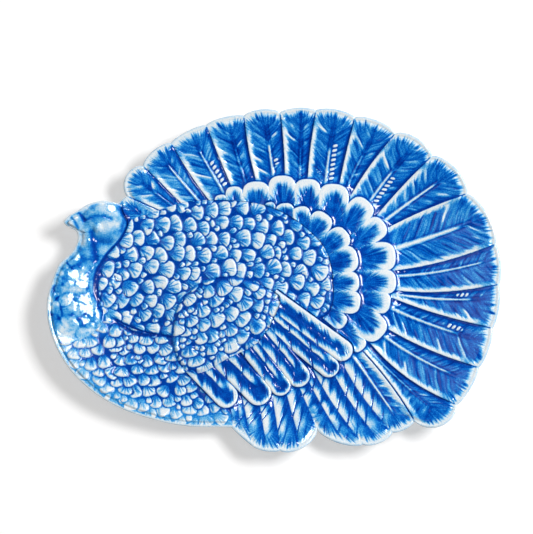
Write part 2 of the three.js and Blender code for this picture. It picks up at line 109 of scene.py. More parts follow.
# root x, root y, tip x, tip y, half width
OUTER_COVERTS = [
    (-52, 74, -54, 85.5, 7), (-39, 70, -40, 94, 9.5), (-17, 66, -18, 99, 14.5), (9, 63, 8, 105, 14.5),
    (35, 58, 33, 101.5, 14), (57, 46, 61, 96.5, 16), (66, 46, 95, 79, 14), (76, 33, 111, 57, 12.5),
    (76, 20, 122.5, 23.5, 15.5), (76, -4, 123, -2.5, 13), (76, -18, 117, -25, 12), (76, -26, 108, -58, 15),
    (65, -44, 89, -71, 9),
]
INNER_COVERTS = [
    (-3, 68, -5, 78, 6), (12, 62, 10, 77, 10), (31, 50, 25, 73.5, 10), (36, 42, 53, 66, 12.5),
    (50, 30, 74, 47, 12.5), (52, 15, 84.5, 22.5, 14.5), (54, -5, 86, -2.5, 11.5), (54, -20, 87, -24.5, 12.5),
    (52, -31, 71, -47, 9),
]
WING_FEATHERS = [
    (0, -22, 77, -78, 11.5), (-5, -39, 63, -95, 11), (-12, -52, 32, -106, 12), (-27, -64, 13, -115, 11),
    (-52, -77, -6, -123, 13.5), (-76, -88, -39, -126, 12.5),
]
print("borders between feathers:", len(TAIL_BORDERS + FLANK_BORDERS[1:]))

# %% [markdown]
# ## The rim and the bowl
# The rim is a chain of scallops, one for each feather tip, closed by a smooth curve round the breast and
# the head. A lathe couldn't make it, because it isn't round, so the rim and the bowl are written as reaches
# from the middle, one for each direction. The bowl doesn't follow every scallop: its floor is flat, and
# beyond that it flares up to a smoothed rim.


# %% Curves of the plan
def spline(points, steps, closed=True):
    """A smooth curve through the points, by centripetal Catmull-Rom pieces."""
    p = np.array(points, float)
    count = len(p) if closed else len(p) - 1
    if closed:
        p = np.vstack([p[-1:], p, p[:2]])
    else:
        p = np.vstack([2 * p[0] - p[1], p, 2 * p[-1] - p[-2]])
    made = []
    for t in np.arange(steps) / steps * count:
        k = int(t)
        a, b, c, d = p[k:k + 4]
        w = t - k
        k1, k2, k3 = (max(1e-4, math.dist(*pair)) ** 0.5 for pair in ((a, b), (b, c), (c, d)))
        m1 = ((b - a) / k1 - (c - a) / (k1 + k2) + (c - b) / k2) * k2
        m2 = ((c - b) / k2 - (d - b) / (k2 + k3) + (d - c) / k3) * k2
        made.append((2 * w**3 - 3 * w**2 + 1) * b + (w**3 - 2 * w**2 + w) * m1
                    + (3 * w**2 - 2 * w**3) * c + (w**3 - w**2) * m2)
    return np.array(made)


def scallop(start, following, steps=40):
    """The tip of one feather, from its notch to the next."""
    a, b = np.array(start[:2], float), np.array(following[:2], float)
    out = np.array([a[1] - b[1], b[0] - a[0]]) / math.dist(a, b)
    share = np.arange(steps)[:, None] / steps
    return a + share * (b - a) + start[5] * (4 * share * (1 - share)) ** SCALLOP_FULLNESS * out


all_borders = TAIL_BORDERS + FLANK_BORDERS[1:]
drawn_rim = np.vstack([scallop(a, b) for a, b in zip(all_borders, all_borders[1:])]
                      + [spline(BREAST_RIM, 400, closed=False)])
drawn_low, drawn_high = drawn_rim.min(0), drawn_rim.max(0)
FIT = np.array([LENGTH, WIDTH]) / (drawn_high - drawn_low)
CENTRE = (drawn_high + drawn_low) / 2


def place(points):
    """Fits drawn points to the platter's length and width."""
    return (np.asarray(points, float) - CENTRE) * FIT


rim = place(drawn_rim)
rim_angle = np.arctan2(rim[:, 1], rim[:, 0])
rim_reach = np.hypot(rim[:, 0], rim[:, 1])
order = np.argsort(rim_angle)
RIM_STEPS, COARSE = 2880, 8
ROUND = np.linspace(-math.pi, math.pi, RIM_STEPS + 1)
RIM_AT = np.interp(ROUND, rim_angle[order], rim_reach[order], period=2 * math.pi)
span = np.hypot(*(np.roll(rim, -1, 0) - rim).T)
apart = (ROUND[::COARSE, None] - rim_angle + math.pi) % (2 * math.pi) - math.pi
near = span * np.exp(-0.5 * (apart / RIM_SMOOTHING) ** 2)
BOWL_AT = np.interp(ROUND, ROUND[::COARSE], (near * rim_reach).sum(1) / near.sum(1))
STEEPEST = 1.9
STEEP_AT = np.minimum(STEEPEST, np.hypot(1, np.gradient(RIM_AT, ROUND) / RIM_AT))
print(f"rim {np.ptp(rim[:, 0]):.1f} x {np.ptp(rim[:, 1]):.1f} mm,",
      f"reach {rim_reach.min():.0f} to {rim_reach.max():.0f} mm")


def face_height(x, y):
    """Height of the dish's bare face over the table."""
    share = np.hypot(x, y) / np.interp(np.arctan2(y, x), ROUND, BOWL_AT)
    return FOOT_HEIGHT + WALL + RIM_RISE * (np.maximum(0, share - FLOOR_SHARE) / (1 - FLOOR_SHARE)) ** FLARE


def from_rim(x, y):
    """Distance in from the edge of the rim, square to it."""
    angle = np.arctan2(y, x)
    return (np.interp(angle, ROUND, RIM_AT) - np.hypot(x, y)) / np.interp(angle, ROUND, STEEP_AT)


# %% [markdown]
# ## Small tools for the sculpting
# Plumage is never even. A value noise, smooth between random numbers on a lattice, makes the barbs waver
# and the glaze run. All draws come from seeded generators, so the platter comes out the same each time.

# %% Noise, steps and outlines
LATTICE = 64


def lattice_noise(x, y, pitch, seed):
    """Smooth noise from -1 to 1, with one random number for each lattice point."""
    table = np.random.default_rng(seed).uniform(-1, 1, (LATTICE, LATTICE))
    gx, gy = x / pitch, y / pitch
    ix, iy = np.floor(gx).astype(int), np.floor(gy).astype(int)
    fx, fy = gx - ix, gy - iy
    fx, fy = fx * fx * (3 - 2 * fx), fy * fy * (3 - 2 * fy)
    at = lambda a, b: table[(ix + a) % LATTICE, (iy + b) % LATTICE]
    return (at(0, 0) * (1 - fx) + at(1, 0) * fx) * (1 - fy) + (at(0, 1) * (1 - fx) + at(1, 1) * fx) * fy


def ease(low, high, value):
    """0 below low, 1 above high, smooth between. It falls instead where low is above high."""
    t = np.clip((value - low) / (high - low), 0, 1)
    return t * t * (3 - 2 * t)


def bell(distance, width):
    """A smooth hump, 1 where the distance is 0."""
    return np.exp(-(distance / width) ** 2)


def mix(a, b, share):
    """From a to b by this share."""
    return a + (b - a) * share


def rounded(edge, radius):
    """A quarter-round shoulder, from 0 at the edge to 1 at this distance in."""
    return np.sqrt(np.clip(1 - (1 - np.clip(edge, 0, radius) / radius) ** 2, 0, 1))


def cells(x, y, pitch, seed):
    """Distance to the nearest of many scattered points, and how much farther the next one is."""
    jitter = np.random.default_rng(seed).uniform(0.1, 0.9, (2, LATTICE, LATTICE))
    ix, iy = np.floor(x / pitch).astype(int), np.floor(y / pitch).astype(int)
    near, after = np.full(x.shape, 9.0), np.full(x.shape, 9.0)
    for ax in (-1, 0, 1):
        for ay in (-1, 0, 1):
            column, row = (ix + ax) % LATTICE, (iy + ay) % LATTICE
            px, py = ix + ax + jitter[0, column, row], iy + ay + jitter[1, column, row]
            away = np.hypot(x / pitch - px, y / pitch - py)
            after = np.minimum(np.maximum(away, near), after)
            near = np.minimum(away, near)
    return near * pitch, (after - near) * pitch


def inside(outline, x, y):
    """Which points lie inside a closed outline."""
    hit = np.zeros(x.shape, bool)
    for (ax, ay), (bx, by) in zip(outline, np.roll(outline, -1, 0)):
        if ay != by:
            crosses = (ay > y) != (by > y)
            hit ^= crosses & (x < (bx - ax) * (y - ay) / (by - ay) + ax)
    return hit


def to_line(line, x, y):
    """Distance to an open line of points."""
    best = np.full(x.shape, 1e9)
    for (ax, ay), (bx, by) in zip(line, line[1:]):
        dx, dy = bx - ax, by - ay
        t = np.clip(((x - ax) * dx + (y - ay) * dy) / (dx * dx + dy * dy + 1e-9), 0, 1)
        best = np.minimum(best, np.hypot(x - ax - t * dx, y - ay - t * dy))
    return best


def to_outline(outline, x, y):
    """Distance to a closed outline."""
    return to_line(np.vstack([outline, outline[:1]]), x, y)


# %% [markdown]
# ## The sheet
# Each feather could be a mesh of its own, but many small meshes would leave gaps or cut into each other
# where they meet. So a fine grid covers the whole platter, and each of its cells belongs to one feather,
# lobe or scaled area: the one that lies on top there. The cells' borders are stair-steps at first, so the
# points on them are eased along their borders until the borders run smooth. Points that lie under the lip
# or outside the rim are left out. Two values then grow on the points: the relief, in millimetres over the
# dish's face, and the pool, which says how deep the glaze lies, from 0 where it has run off to 1 where it
# is navy.

# %% Lay the sheet
CELL = 0.5
UNDER_LIP = 0.9
SPARE = 2.0
COLUMNS, ROWS = int((LENGTH + SPARE) / CELL), int((WIDTH + SPARE) / CELL)
gx, gy = np.meshgrid((np.arange(COLUMNS + 1) - COLUMNS / 2) * CELL, (np.arange(ROWS + 1) - ROWS / 2) * CELL)
cx, cy = gx[:-1, :-1] + CELL / 2, gy[:-1, :-1] + CELL / 2
print(f"sheet of {COLUMNS} x {ROWS} cells, {CELL} mm each")


def border_at(border, share):
    """Points on a border at these shares of its length, and their direction."""
    notch, root = place(border[0:2]), place(border[2:4])
    along = notch - root
    reach = np.hypot(*along)
    start = root - along / reach * ROOT_TUCK
    along = notch - start
    side = np.array([-along[1], along[0]]) / np.hypot(*along)
    arch = 4 * border[4] * side
    share = share[..., None]
    return start + share * along + share * (1 - share) * arch, along + (1 - 2 * share) * arch


SOLVE_STEPS = 9


def feather_place(first, second, x, y):
    """Where points lie on a feather: across it, along it from its root, and how wide it is there."""
    u, v = np.full(x.shape, 0.5), np.full(x.shape, 0.6)
    for _ in range(SOLVE_STEPS):
        a, da = border_at(first, v)
        b, db = border_at(second, v)
        fu = b - a
        fv = da + u[..., None] * (db - da)
        ex, ey = (a + u[..., None] * fu)[..., 0] - x, (a + u[..., None] * fu)[..., 1] - y
        det = fu[..., 0] * fv[..., 1] - fu[..., 1] * fv[..., 0]
        det = np.where(np.abs(det) < 1e-3, 1e-3, det)
        u = np.clip(u - (ex * fv[..., 1] - ey * fv[..., 0]) / det, -3, 4)
        v = np.clip(v - (fu[..., 0] * ey - fu[..., 1] * ex) / det, -0.4, 1.6)
    a, _ = border_at(first, v)
    b, _ = border_at(second, v)
    return u, v, np.hypot(*np.moveaxis(b - a, -1, 0))


LOBE_TUCK = 4.0


def lobe_place(lobe, x, y, fullness):
    """Where points lie on a rounded feather: along, across, and in from its edge; and its length."""
    root, tip = place(lobe[0:2]), place(lobe[2:4])
    half = lobe[4]
    along = tip - root
    reach = np.hypot(*along)
    dx, dy = along / reach
    s = (x - root[0]) * dx + (y - root[1]) * dy
    c = -(x - root[0]) * dy + (y - root[1]) * dx
    over = np.maximum(0, s - (reach - half))
    behind = np.maximum(0, -LOBE_TUCK - s)
    across = (np.abs(c) ** fullness + over**fullness) ** (1 / fullness)
    return s, c, half - across - 2 * behind, reach


AREAS = ["tail_fan", "flank_feathers", "outer_coverts", "inner_coverts", "breast_plumage", "body_plumage",
         "head_and_neck", "wing_feathers", "wing_shoulder"]
OUTLINES = {"breast_plumage": BREAST_OUTLINE, "body_plumage": BODY_OUTLINE, "head_and_neck": NECK_OUTLINE,
            "wing_shoulder": SHOULDER_OUTLINE}
OUTLINES = {area: place(spline(points, 160)) for area, points in OUTLINES.items()}
FANS = {"tail_fan": TAIL_BORDERS, "flank_feathers": FLANK_BORDERS}
LOBES = {"outer_coverts": OUTER_COVERTS, "inner_coverts": INNER_COVERTS, "wing_feathers": WING_FEATHERS}
TIP_FULLNESS = {"outer_coverts": 2.6, "inner_coverts": 2.6, "wing_feathers": 2.1}
NUMBER = {area: number for number, area in enumerate(AREAS, 1)}
STRIDE = 100
FAN_MARGIN = 24
print("areas of the relief:", len(AREAS))

# %% Give each cell its owner
owner = np.zeros(cx.shape, int)
for area, number in NUMBER.items():
    if area in FANS:
        borders = FANS[area]
        for k in range(len(borders) - 1):
            corners = place([borders[k][0:2], borders[k][2:4], borders[k + 1][0:2], borders[k + 1][2:4]])
            low, high = corners.min(0) - FAN_MARGIN, corners.max(0) + FAN_MARGIN
            near = (cx > low[0]) & (cx < high[0]) & (cy > low[1]) & (cy < high[1])
            u, v, _ = feather_place(borders[k], borders[k + 1], cx[near], cy[near])
            taken = owner[near]
            taken[(u >= 0) & (u < 1) & (v > -0.1)] = number * STRIDE + k
            owner[near] = taken
    elif area in LOBES:
        depth = np.zeros(cx.shape)
        for k, lobe in enumerate(LOBES[area]):
            s, _, edge, _ = lobe_place(lobe, cx, cy, TIP_FULLNESS[area])
            mine = (edge > depth) & (s > -LOBE_TUCK)
            owner[mine] = number * STRIDE + k
            depth[mine] = edge[mine]
    else:
        owner[inside(OUTLINES[area], cx, cy)] = number * STRIDE
owner[from_rim(cx, cy) < UNDER_LIP] = 0
# a few cells lie between the outlines, and go to the nearest area
bare = (owner == 0) & (from_rim(cx, cy) >= UNDER_LIP)
owner[bare & (cx < -40)] = NUMBER["breast_plumage"] * STRIDE
owner[bare & (cx < -110) & (cy > 40)] = NUMBER["tail_fan"] * STRIDE
beside_neck = bare & (cx < -135) & (cy > -42) & (cy < 52)
owner[beside_neck] = NUMBER["body_plumage"] * STRIDE
last_flank = len(FLANK_BORDERS) - 2
owner[bare & (cx >= -40)] = NUMBER["flank_feathers"] * STRIDE + last_flank
print("cells in use:", int((owner > 0).sum()), "bare cells taken in:", int(bare.sum()))

# %% Ease the borders between cells
point_owner = np.zeros(gx.shape, int)
for dy in (0, 1):
    for dx in (0, 1):
        corner = point_owner[dy:dy + ROWS, dx:dx + COLUMNS]
        np.maximum(corner, owner, out=corner)
padded = np.pad(owner, 1)
split_across = padded[1:, 1:-1] != padded[:-1, 1:-1]
split_along = padded[1:-1, 1:] != padded[1:-1, :-1]
EASINGS = 12
for _ in range(EASINGS):
    sums = np.zeros(gx.shape + (2,))
    count = np.zeros(gx.shape)
    for split, axis in ((split_across, 1), (split_along, 0)):
        a = (slice(None), slice(None, -1)) if axis == 1 else (slice(None, -1), slice(None))
        b = (slice(None), slice(1, None)) if axis == 1 else (slice(1, None), slice(None))
        for here, there in ((a, b), (b, a)):
            sums[here][..., 0] += np.where(split, gx[there], 0)
            sums[here][..., 1] += np.where(split, gy[there], 0)
            count[here] += split
    on_border = count == 2
    gx = np.where(on_border, 0.5 * gx + 0.25 * sums[..., 0], gx)
    gy = np.where(on_border, 0.5 * gy + 0.25 * sums[..., 1], gy)
print("points eased onto smooth borders:", int(on_border.sum()))
rim_in = from_rim(gx, gy)
LIP_TOP = 1.1
relief = np.full(gx.shape, GROOVE)
pool = np.full(gx.shape, 0.9)

# %% [markdown]
# ## Tail feathers
# Each tail feather overlaps the next like a shingle: one edge stands up white, and the other dips into a
# dark groove. A thin quill runs up it. Fine barbs lean out from the quill towards the tip, and here and
# there the vane has split along a barb, with a dark cut and a pale lip beside it. At the tip the barbs fan
# out and fade into the white rim. A bump texture could draw all this, but it wouldn't catch the light at
# the edges, so it is cut into the sheet.

# %% Looks of the tail feathers
# which edge stands up, where the quill starts and ends across the feather, its half width, how white it is,
# how far along the white reaches, and where a row of beads runs beside it
TAIL_LOOKS = [
    ("far", 0.5, 0.5, 0.5, 0.0, 0.6, None), ("near", 0.62, 0.6, 0.6, 0.2, 0.6, None),
    ("near", 0.68, 0.56, 0.9, 0.9, 0.75, None), ("near", 0.68, 0.55, 0.9, 0.8, 0.71, (0.16, 0.55)),
    ("near", 0.62, 0.6, 0.7, 0.3, 0.6, None), ("near", 0.64, 0.58, 1.1, 1.0, 0.58, (0.3, 0.4)),
    ("near", 0.7, 0.62, 0.6, 0.3, 0.5, None), ("near", 0.6, 0.52, 1.2, 1.0, 0.55, (0.12, 0.64)),
    ("near", 0.62, 0.6, 0.7, 0.3, 0.6, None), ("near", 0.6, 0.54, 1.2, 1.0, 0.59, (0.1, 0.56)),
    ("near", 0.62, 0.5, 1.3, 1.0, 0.8, None), ("both", 0.5, 0.5, 2.2, 1.0, 0.77, None),
    ("far", 0.24, 0.34, 1.1, 0.9, 0.85, None), ("far", 0.3, 0.3, 1.2, 1.0, 0.75, (0.62, 0.74)),
    ("far", 0.3, 0.34, 1.3, 0.9, 0.7, (0.6, 0.76)), ("far", 0.3, 0.36, 1.2, 0.9, 0.79, None),
    ("far", 0.4, 0.45, 1.0, 0.5, 0.7, None),
]


# %% Strokes and fringes
def streaks(across, along, seed, fine=1.5, long=8.0):
    """Noise drawn out one way, like the strokes of a brush."""
    return lattice_noise(across / fine, along / long, 1.0, seed)


def tip_fringe(high, tint, off, v, length, tip_in, seed):
    """Lets the barbs fan out at the tip and fade into the white rim."""
    fan = np.arctan2(off, np.maximum(1.0, (v - 0.62) * length)) * 22
    comb, broad = streaks(fan, tip_in, seed + 4, 0.6, 26), streaks(fan, tip_in, seed + 5, 2.0, 30)
    tint = mix(tint, 0.66 + 0.24 * comb + 0.14 * broad, 0.65 * ease(22, 12, tip_in))
    tint = mix(tint, 0.05, 0.95 * ease(10, 3.0, tip_in + 2.6 * comb + 2.4 * broad))
    tint = mix(tint, 0.06, ease(4.4, 2.2, tip_in + 0.8 * comb))
    tint = mix(tint, 0.17, ease(2.6, 1.4, tip_in))
    return mix(high, LIP_TOP + 0.06 * comb, ease(9, 4.0, tip_in)), tint


# %% Shape one tail feather
LEAN = 0.8
TAIL_TOP = 2.4


def tail_feather(look, u, v, width, length, x, y, tip_in, seed):
    """Relief and glaze of one tail feather."""
    edge, quill_root, quill_tip, quill_half, quill_white, quill_end, beads = look
    rng = np.random.default_rng(seed)
    sway = lattice_noise(x, y, 9, seed)
    off = (u - mix(quill_root, quill_tip, v)) * width
    out = np.abs(off)
    barb = v * length - LEAN * out + 0.9 * sway
    hair = streaks(barb, off, seed + 3, 0.75, 7)
    stroke = streaks(barb, off, seed + 1)
    broad = streaks(barb, off, seed + 2, 3.6, 14)
    high = TAIL_TOP + 0.06 * stroke + 0.1 * broad
    tint = 0.64 - 0.07 * ease(-20, -90, x) + 0.06 * ease(130, 190, x) * ease(50, 10, y)
    tint = tint + 0.12 * stroke + 0.17 * broad + 0.08 * hair
    for side in (-1, 1):
        mine = off * side > 0
        room = np.percentile(out[mine], 95) if mine.any() else 0
        at = 0.1 * length + rng.uniform(0, 8)
        while room > 4 and at < 0.95 * length:
            cut = (barb - at) * 0.78 + 0.5 * broad
            spread = np.clip(out / room, 0, 1)
            start = rng.uniform(-0.1, 0.4)
            reach = mine * ease(start, start + 0.25, spread) * rng.uniform(0.6, 1)
            wedge = reach * rng.choice([0.1, 0.5, 0.9]) * bell(cut + 0.8 + 1.2 * spread, 0.7 + 1.2 * spread)
            high += 0.12 * wedge - 0.3 * reach * bell(cut, 0.9)
            wedge *= ease(3, 7, np.where(edge == "far", u, 1 - u) * width) if edge != "both" else 1
            tint += 0.26 * reach * bell(cut, 0.8) - 0.7 * wedge * (1 + 0.6 * hair)
            at += rng.uniform(7, 15)
    quill_now = quill_half * mix(1.4, 0.5, np.clip(v, 0, 1))
    quill = bell(out, quill_now) * ease(quill_end + 0.05, quill_end - 0.05, v)
    beside = bell(out - quill_now - 1.1, 1.0) * ease(0.95, 0.8, v)
    trunk = bell(out, 0.9) * ease(quill_end - 0.03, quill_end + 0.04, v) * ease(0.97, 0.85, v)
    high += 0.7 * quill_white * quill - 0.2 * beside
    tint = mix(tint + 0.2 * beside, 0.95, 0.7 * trunk)
    tint = mix(tint, 0.04, quill_white * quill)
    if beads:
        strip = off * (1 if edge == "near" else -1) - 5.0
        wave = np.cos(2 * math.pi * (v * length - 0.35 * strip) / 4.7)
        bead = ease(0.2, 0.5, bell(strip, 2.8) * (0.5 + 0.5 * wave))
        first, last = beads
        lane = bell(strip, 3.2) * ease(first - 0.03, first + 0.03, v) * ease(last + 0.03, last - 0.03, v)
        high += 0.6 * bead * lane
        tint = mix(mix(tint, 0.85, lane), 0.04, bead * ease(0.4, 0.8, lane))
    for name, depth in (("near", u * width), ("far", (1 - u) * width)):
        if edge in (name, "both"):
            band = 4.6 + 1.5 * stroke + 1.1 * broad + 0.6 * hair
            ridge = mix(1.2, 0.5, ease(-40, -90, x))
            high = mix(1.3, high + ridge * ease(6.5, 1.0, depth), rounded(depth, 1.8))
            tint = mix(tint, 0.06, ease(band + 2.4, band - 2.0, depth))
            tint = mix(tint, 0.92, ease(0.9, 0.3, depth))
        else:
            high -= mix(1.0, 0.35, ease(-10, -70, x)) * ease(6.5, 0.3, depth)
            tint = mix(tint, 0.97, ease(3.6, 0.6, depth + 0.6 * stroke))
    high, tint = tip_fringe(high, tint, off, v, length, tip_in, seed)
    seam = ease(1.0, 0.3, np.minimum(u, 1 - u) * width) * ease(1.4, 3.0, tip_in)
    return high, mix(tint, 0.85, 0.85 * seam)


# %% Lay the tail feathers
def lay_feather(area, k, shape, look):
    """Finds the points of one feather, shapes them and gives back where they are."""
    number, borders = NUMBER[area], FANS[area]
    mine = point_owner == number * STRIDE + k
    x, y = gx[mine], gy[mine]
    u, v, width = feather_place(borders[k], borders[k + 1], x, y)
    length = math.dist(place(borders[k][0:2]), place(borders[k][2:4])) + ROOT_TUCK
    return mine, shape(look, np.clip(u, 0, 1), v, width, length, x, y, rim_in[mine], 40 * number + k)


for k, look in enumerate(TAIL_LOOKS):
    mine, (relief[mine], pool[mine]) = lay_feather("tail_fan", k, tail_feather, look)
print("tail feathers:", len(TAIL_LOOKS))

# %% [markdown]
# ## Flank feathers
# Below the wing the vanes have split into slanted lobes, like the slats of a blind. Each lobe is white and
# crisp along its lower edge, widens towards the tip, and fades into blue towards the quill that it hangs
# from. They could be laid one by one, but they repeat along the quill, so a wave with some noise in it sets
# them out. The wing's feathers are split in the same way, so the lobes are a tool of their own.


# %% Shape the flank feathers
def lobed(t, along, width, period, seed):
    """How white a split vane is, and where it is cut. t runs from the quill, 0, to the crisp edge, 1."""
    run = along - 1.2 * t * width
    run = run + 4.5 * lattice_noise(run, 0 * run, 13, seed)
    phase = (run / period) % 1
    stroke = streaks(run, t * width, seed + 1, 1.1, 9)
    white = ease(-0.32, 0.26, t - mix(0.8, 0.46, np.sin(math.pi * phase) ** 0.7) + 0.12 * stroke)
    cut = np.minimum(phase, 1 - phase) * period * 0.7
    slit = ease(1.2, 0.3, cut) * ease(0.25, 0.6, t) * ease(-0.9, 0.1, lattice_noise(run, t, 9, seed + 2))
    return white * (1 - slit), slit, stroke


# where the quill starts and ends across the feather, and how long a lobe is
FLANK_LOOKS = [
    (0.42, 0.5, 17), (0.42, 0.5, 17), (0.45, 0.48, 15), (0.5, 0.5, 13), (0.46, 0.5, 13), (0.5, 0.5, 14),
]
FLANK_TOP = 2.3
# the first one's right-hand side is like a tail feather
FIRST_FLANK = ("near", 0.42, 0.5, 1.1, 1.0, 0.8, None)


def flank_feather(look, u, v, width, length, x, y, tip_in, seed):
    """Relief and glaze of one flank feather: two split vanes, each hanging from its right."""
    quill_root, quill_tip, period = look
    quill_at = mix(quill_root, quill_tip, v)
    left = u > quill_at
    share = np.where(left, 1 - quill_at, quill_at)
    t = np.where(left, u - quill_at, u) / share
    white, slit, stroke = lobed(t, v * length + np.where(left, 0, 0.4 * period), share * width, period, seed)
    below = (1 - t) * share * width
    high = FLANK_TOP + 0.2 * white - 0.25 * slit
    high = high - 0.6 * ease(2.4, 0.2, below) - 0.4 * ease(3.6, 0.2, t * share * width)
    tint = mix(0.8 - 0.14 * stroke, 0.05, white)
    tint = mix(tint, 0.46 + 0.26 * stroke, 0.8 * ease(0.55, 0.9, v) * ease(0.05, 0.3, t) * (1 - 0.5 * white))
    tint = mix(tint, 0.85, np.maximum(0.9 * slit, ease(1.3, 0.4, below)))
    return tip_fringe(high, tint, (u - quill_at) * width, v, length, tip_in, seed)


for k, look in enumerate(FLANK_LOOKS):
    mine, (high, tint) = lay_feather("flank_feathers", k, flank_feather, look)
    if k == 0:
        mine, (first_high, first_tint) = lay_feather("flank_feathers", k, tail_feather, FIRST_FLANK)
        u, v, width = feather_place(FLANK_BORDERS[0], FLANK_BORDERS[1], gx[mine], gy[mine])
        split = ease(1.2, 2.6, (u - mix(*FIRST_FLANK[1:3], v)) * width)
        high, tint = mix(first_high, high, split), mix(first_tint, tint, split)
    relief[mine], pool[mine] = high, tint
print("flank feathers:", len(FLANK_LOOKS))

# %% [markdown]
# ## Coverts
# The coverts are two rows of rounded lobes over the roots of the tail. Each one is a raised white rim round
# its tip, with a dark hollow behind it where the glaze has pooled in streaks. The distance in from a lobe's
# edge is all that it takes to shape one, so one function serves both rows.

# %% Shape the coverts
COVERT_FOOT, COVERT_TOP = 3.3, 4.6


def coverts(area):
    """Relief and glaze of one row of coverts."""
    number = NUMBER[area]
    for k, lobe in enumerate(LOBES[area]):
        mine = point_owner == number * STRIDE + k
        x, y = gx[mine], gy[mine]
        s, c, edge, reach = lobe_place(lobe, x, y, TIP_FULLNESS[area])
        half, seed = lobe[4], 300 + 20 * number + k
        angle = np.arctan2(c, np.maximum(0.5, s - (reach - 2.6 * half)))
        turn = angle * 1.6 * half
        ray = 0.7 * streaks(turn, edge, seed, 1.0, 12) + 0.6 * streaks(turn, edge, seed + 1, 3, 14)
        soft = lattice_noise(x, y, 5, seed + 50)
        forward = ease(0.3, 0.95, s / reach)
        band = mix(1.8, min(10.5, 0.76 * half), forward) + 2.6 * ray + 0.6 * soft
        hollow = ease(band - 1, band + 5, edge)
        raised = (COVERT_TOP - COVERT_FOOT) * rounded(edge, 3.2) * mix(0.6, 1, forward)
        relief[mine] = COVERT_FOOT + raised - 1.2 * hollow
        tint = mix(0.04, 0.76 + 0.1 * soft - 0.16 * ray, ease(band - 5, band + 5.5, edge))
        pool[mine] = mix(tint, 0.9, ease(1.2, 0.3, edge))


coverts("outer_coverts")
coverts("inner_coverts")
print("coverts:", len(OUTER_COVERTS), "outer and", len(INNER_COVERTS), "inner")

# %% [markdown]
# ## Wing feathers
# Each of the wing's long feathers shows two split vanes and a round tip with a white rim and a dark well.
# The top one lies over the rest. It shows its broad white leading edge and a dark blade in place of an
# upper vane. Both tools are there already: the flank's lobes for the vanes, and the coverts' way of
# measuring in from an edge for the tips.

# %% Shape the wing feathers
WING_FOOT, WING_TOP = 3.0, 6.0
WING_LOBE = 25


def wing_feather(k, lobe):
    """Relief and glaze of one wing feather."""
    mine = point_owner == NUMBER["wing_feathers"] * STRIDE + k
    x, y = gx[mine], gy[mine]
    s, c, edge, reach = lobe_place(lobe, x, y, TIP_FULLNESS["wing_feathers"])
    half, seed = lobe[4], 520 + 5 * k
    soft = lattice_noise(x, y, 5, seed)
    quill = 0.1 * half + 0.5 * soft
    lower = c < quill
    column = np.where(lower, half + quill, half - quill)
    t = np.clip(np.where(lower, quill - c, half - c) / column, 0, 1)
    white, slit, stroke = lobed(t, s + np.where(lower, 0, 10), column, WING_LOBE, seed)
    below = (1 - t) * column
    tip = ease(reach - 2.2 * half, reach - 1.2 * half, s)
    well = tip * ease(-0.5, 0.0, c / half + 0.1 * stroke)
    if k == 0:
        well = np.maximum(well, ease(-0.2, 0.25, c / half + 0.1 * stroke) * ease(-2, 14, s))
    tint = mix(0.86 - 0.06 * stroke, 0.05, 0.97 * white ** 1.5)
    tint = mix(tint, 0.9, np.maximum(0.9 * slit, ease(1.5, 0.5, below) * ease(2, 3.5, edge)))
    tint = mix(tint, 0.84 + 0.12 * soft, well)
    high = WING_FOOT + (WING_TOP - WING_FOOT) * rounded(edge, 3.0) * mix(0.8, 1, ease(0, 0.5, s / reach))
    dips = (0.7 * ease(2.0, 0.2, below) + 0.5 * ease(3.0, 0.2, t * column)) * ease(2, 4, edge)
    high += (0.25 * white - 0.4 * slit - dips) * (1 - well) - 0.7 * well
    white_rim = ease(6.0, 2.0, edge * (0.62 if k == 0 else 1) + 1.5 * stroke + 0.8 * soft)
    white_rim *= np.maximum(tip, (k == 0) * ease(0.1, 0.4, c / half))
    high += 0.7 * white_rim * well
    tint = mix(tint, 0.03, white_rim)
    relief[mine] = high
    pool[mine] = mix(tint, 0.95, ease(1.2, 0.3, edge))


for k, lobe in enumerate(WING_FEATHERS):
    wing_feather(k, lobe)
print("wing feathers:", len(WING_FEATHERS))

# %% [markdown]
# ## Scaled plumage
# Body, breast and shoulder are covered in small scales, like pebbles with a lean: each is low and blue
# where it starts and high and white at its tip, with fine rays fanned over it. Copies of one scale would
# look alike and cut into each other, so each point of the sheet asks which scale lies on top there. The
# large ones stand near the crests of the solid. The others are thrown like darts into the gaps, and stay
# only where they don't crowd another. Like roof tiles, each scale's round tip lies over the foot of the
# next, and the glaze pools in the groove behind that tip.

# %% Set out the scales
OVAL_FULLNESS = 2.3
SCALE_LEAN = 0.35


def in_oval(spot, x, y):
    """Along and across an oval of (x, y, half length, half width, aim), and how deep inside it points lie."""
    px, py, longer, wider, aim = np.moveaxis(spot, -1, 0)
    a = ((x - px) * np.cos(aim) + (y - py) * np.sin(aim)) / longer
    b = ((y - py) * np.cos(aim) - (x - px) * np.sin(aim)) / wider / (0.78 + 0.22 * np.clip(a, -1, 1))
    out = (np.abs(a) ** OVAL_FULLNESS + np.abs(b) ** OVAL_FULLNESS) ** (1 / OVAL_FULLNESS)
    return a, b, (1 - out) * np.minimum(longer, wider)


def throw(rng, low, high, sizes, tries, spots, clear, aim_at):
    """Throws ovals like darts, and keeps those that lie clear of the earlier ones."""
    for x, y, size, shape in zip(rng.uniform(low[0], high[0], tries), rng.uniform(low[1], high[1], tries),
                                 rng.uniform(*sizes, tries), rng.uniform(0.8, 1.25, tries)):
        if (in_oval(spots, x, y)[2] < -clear * size).all():
            spots = np.vstack([spots, (x, y, size / shape, size * shape, aim_at(x, y) + rng.normal(0, 0.4))])
    return spots


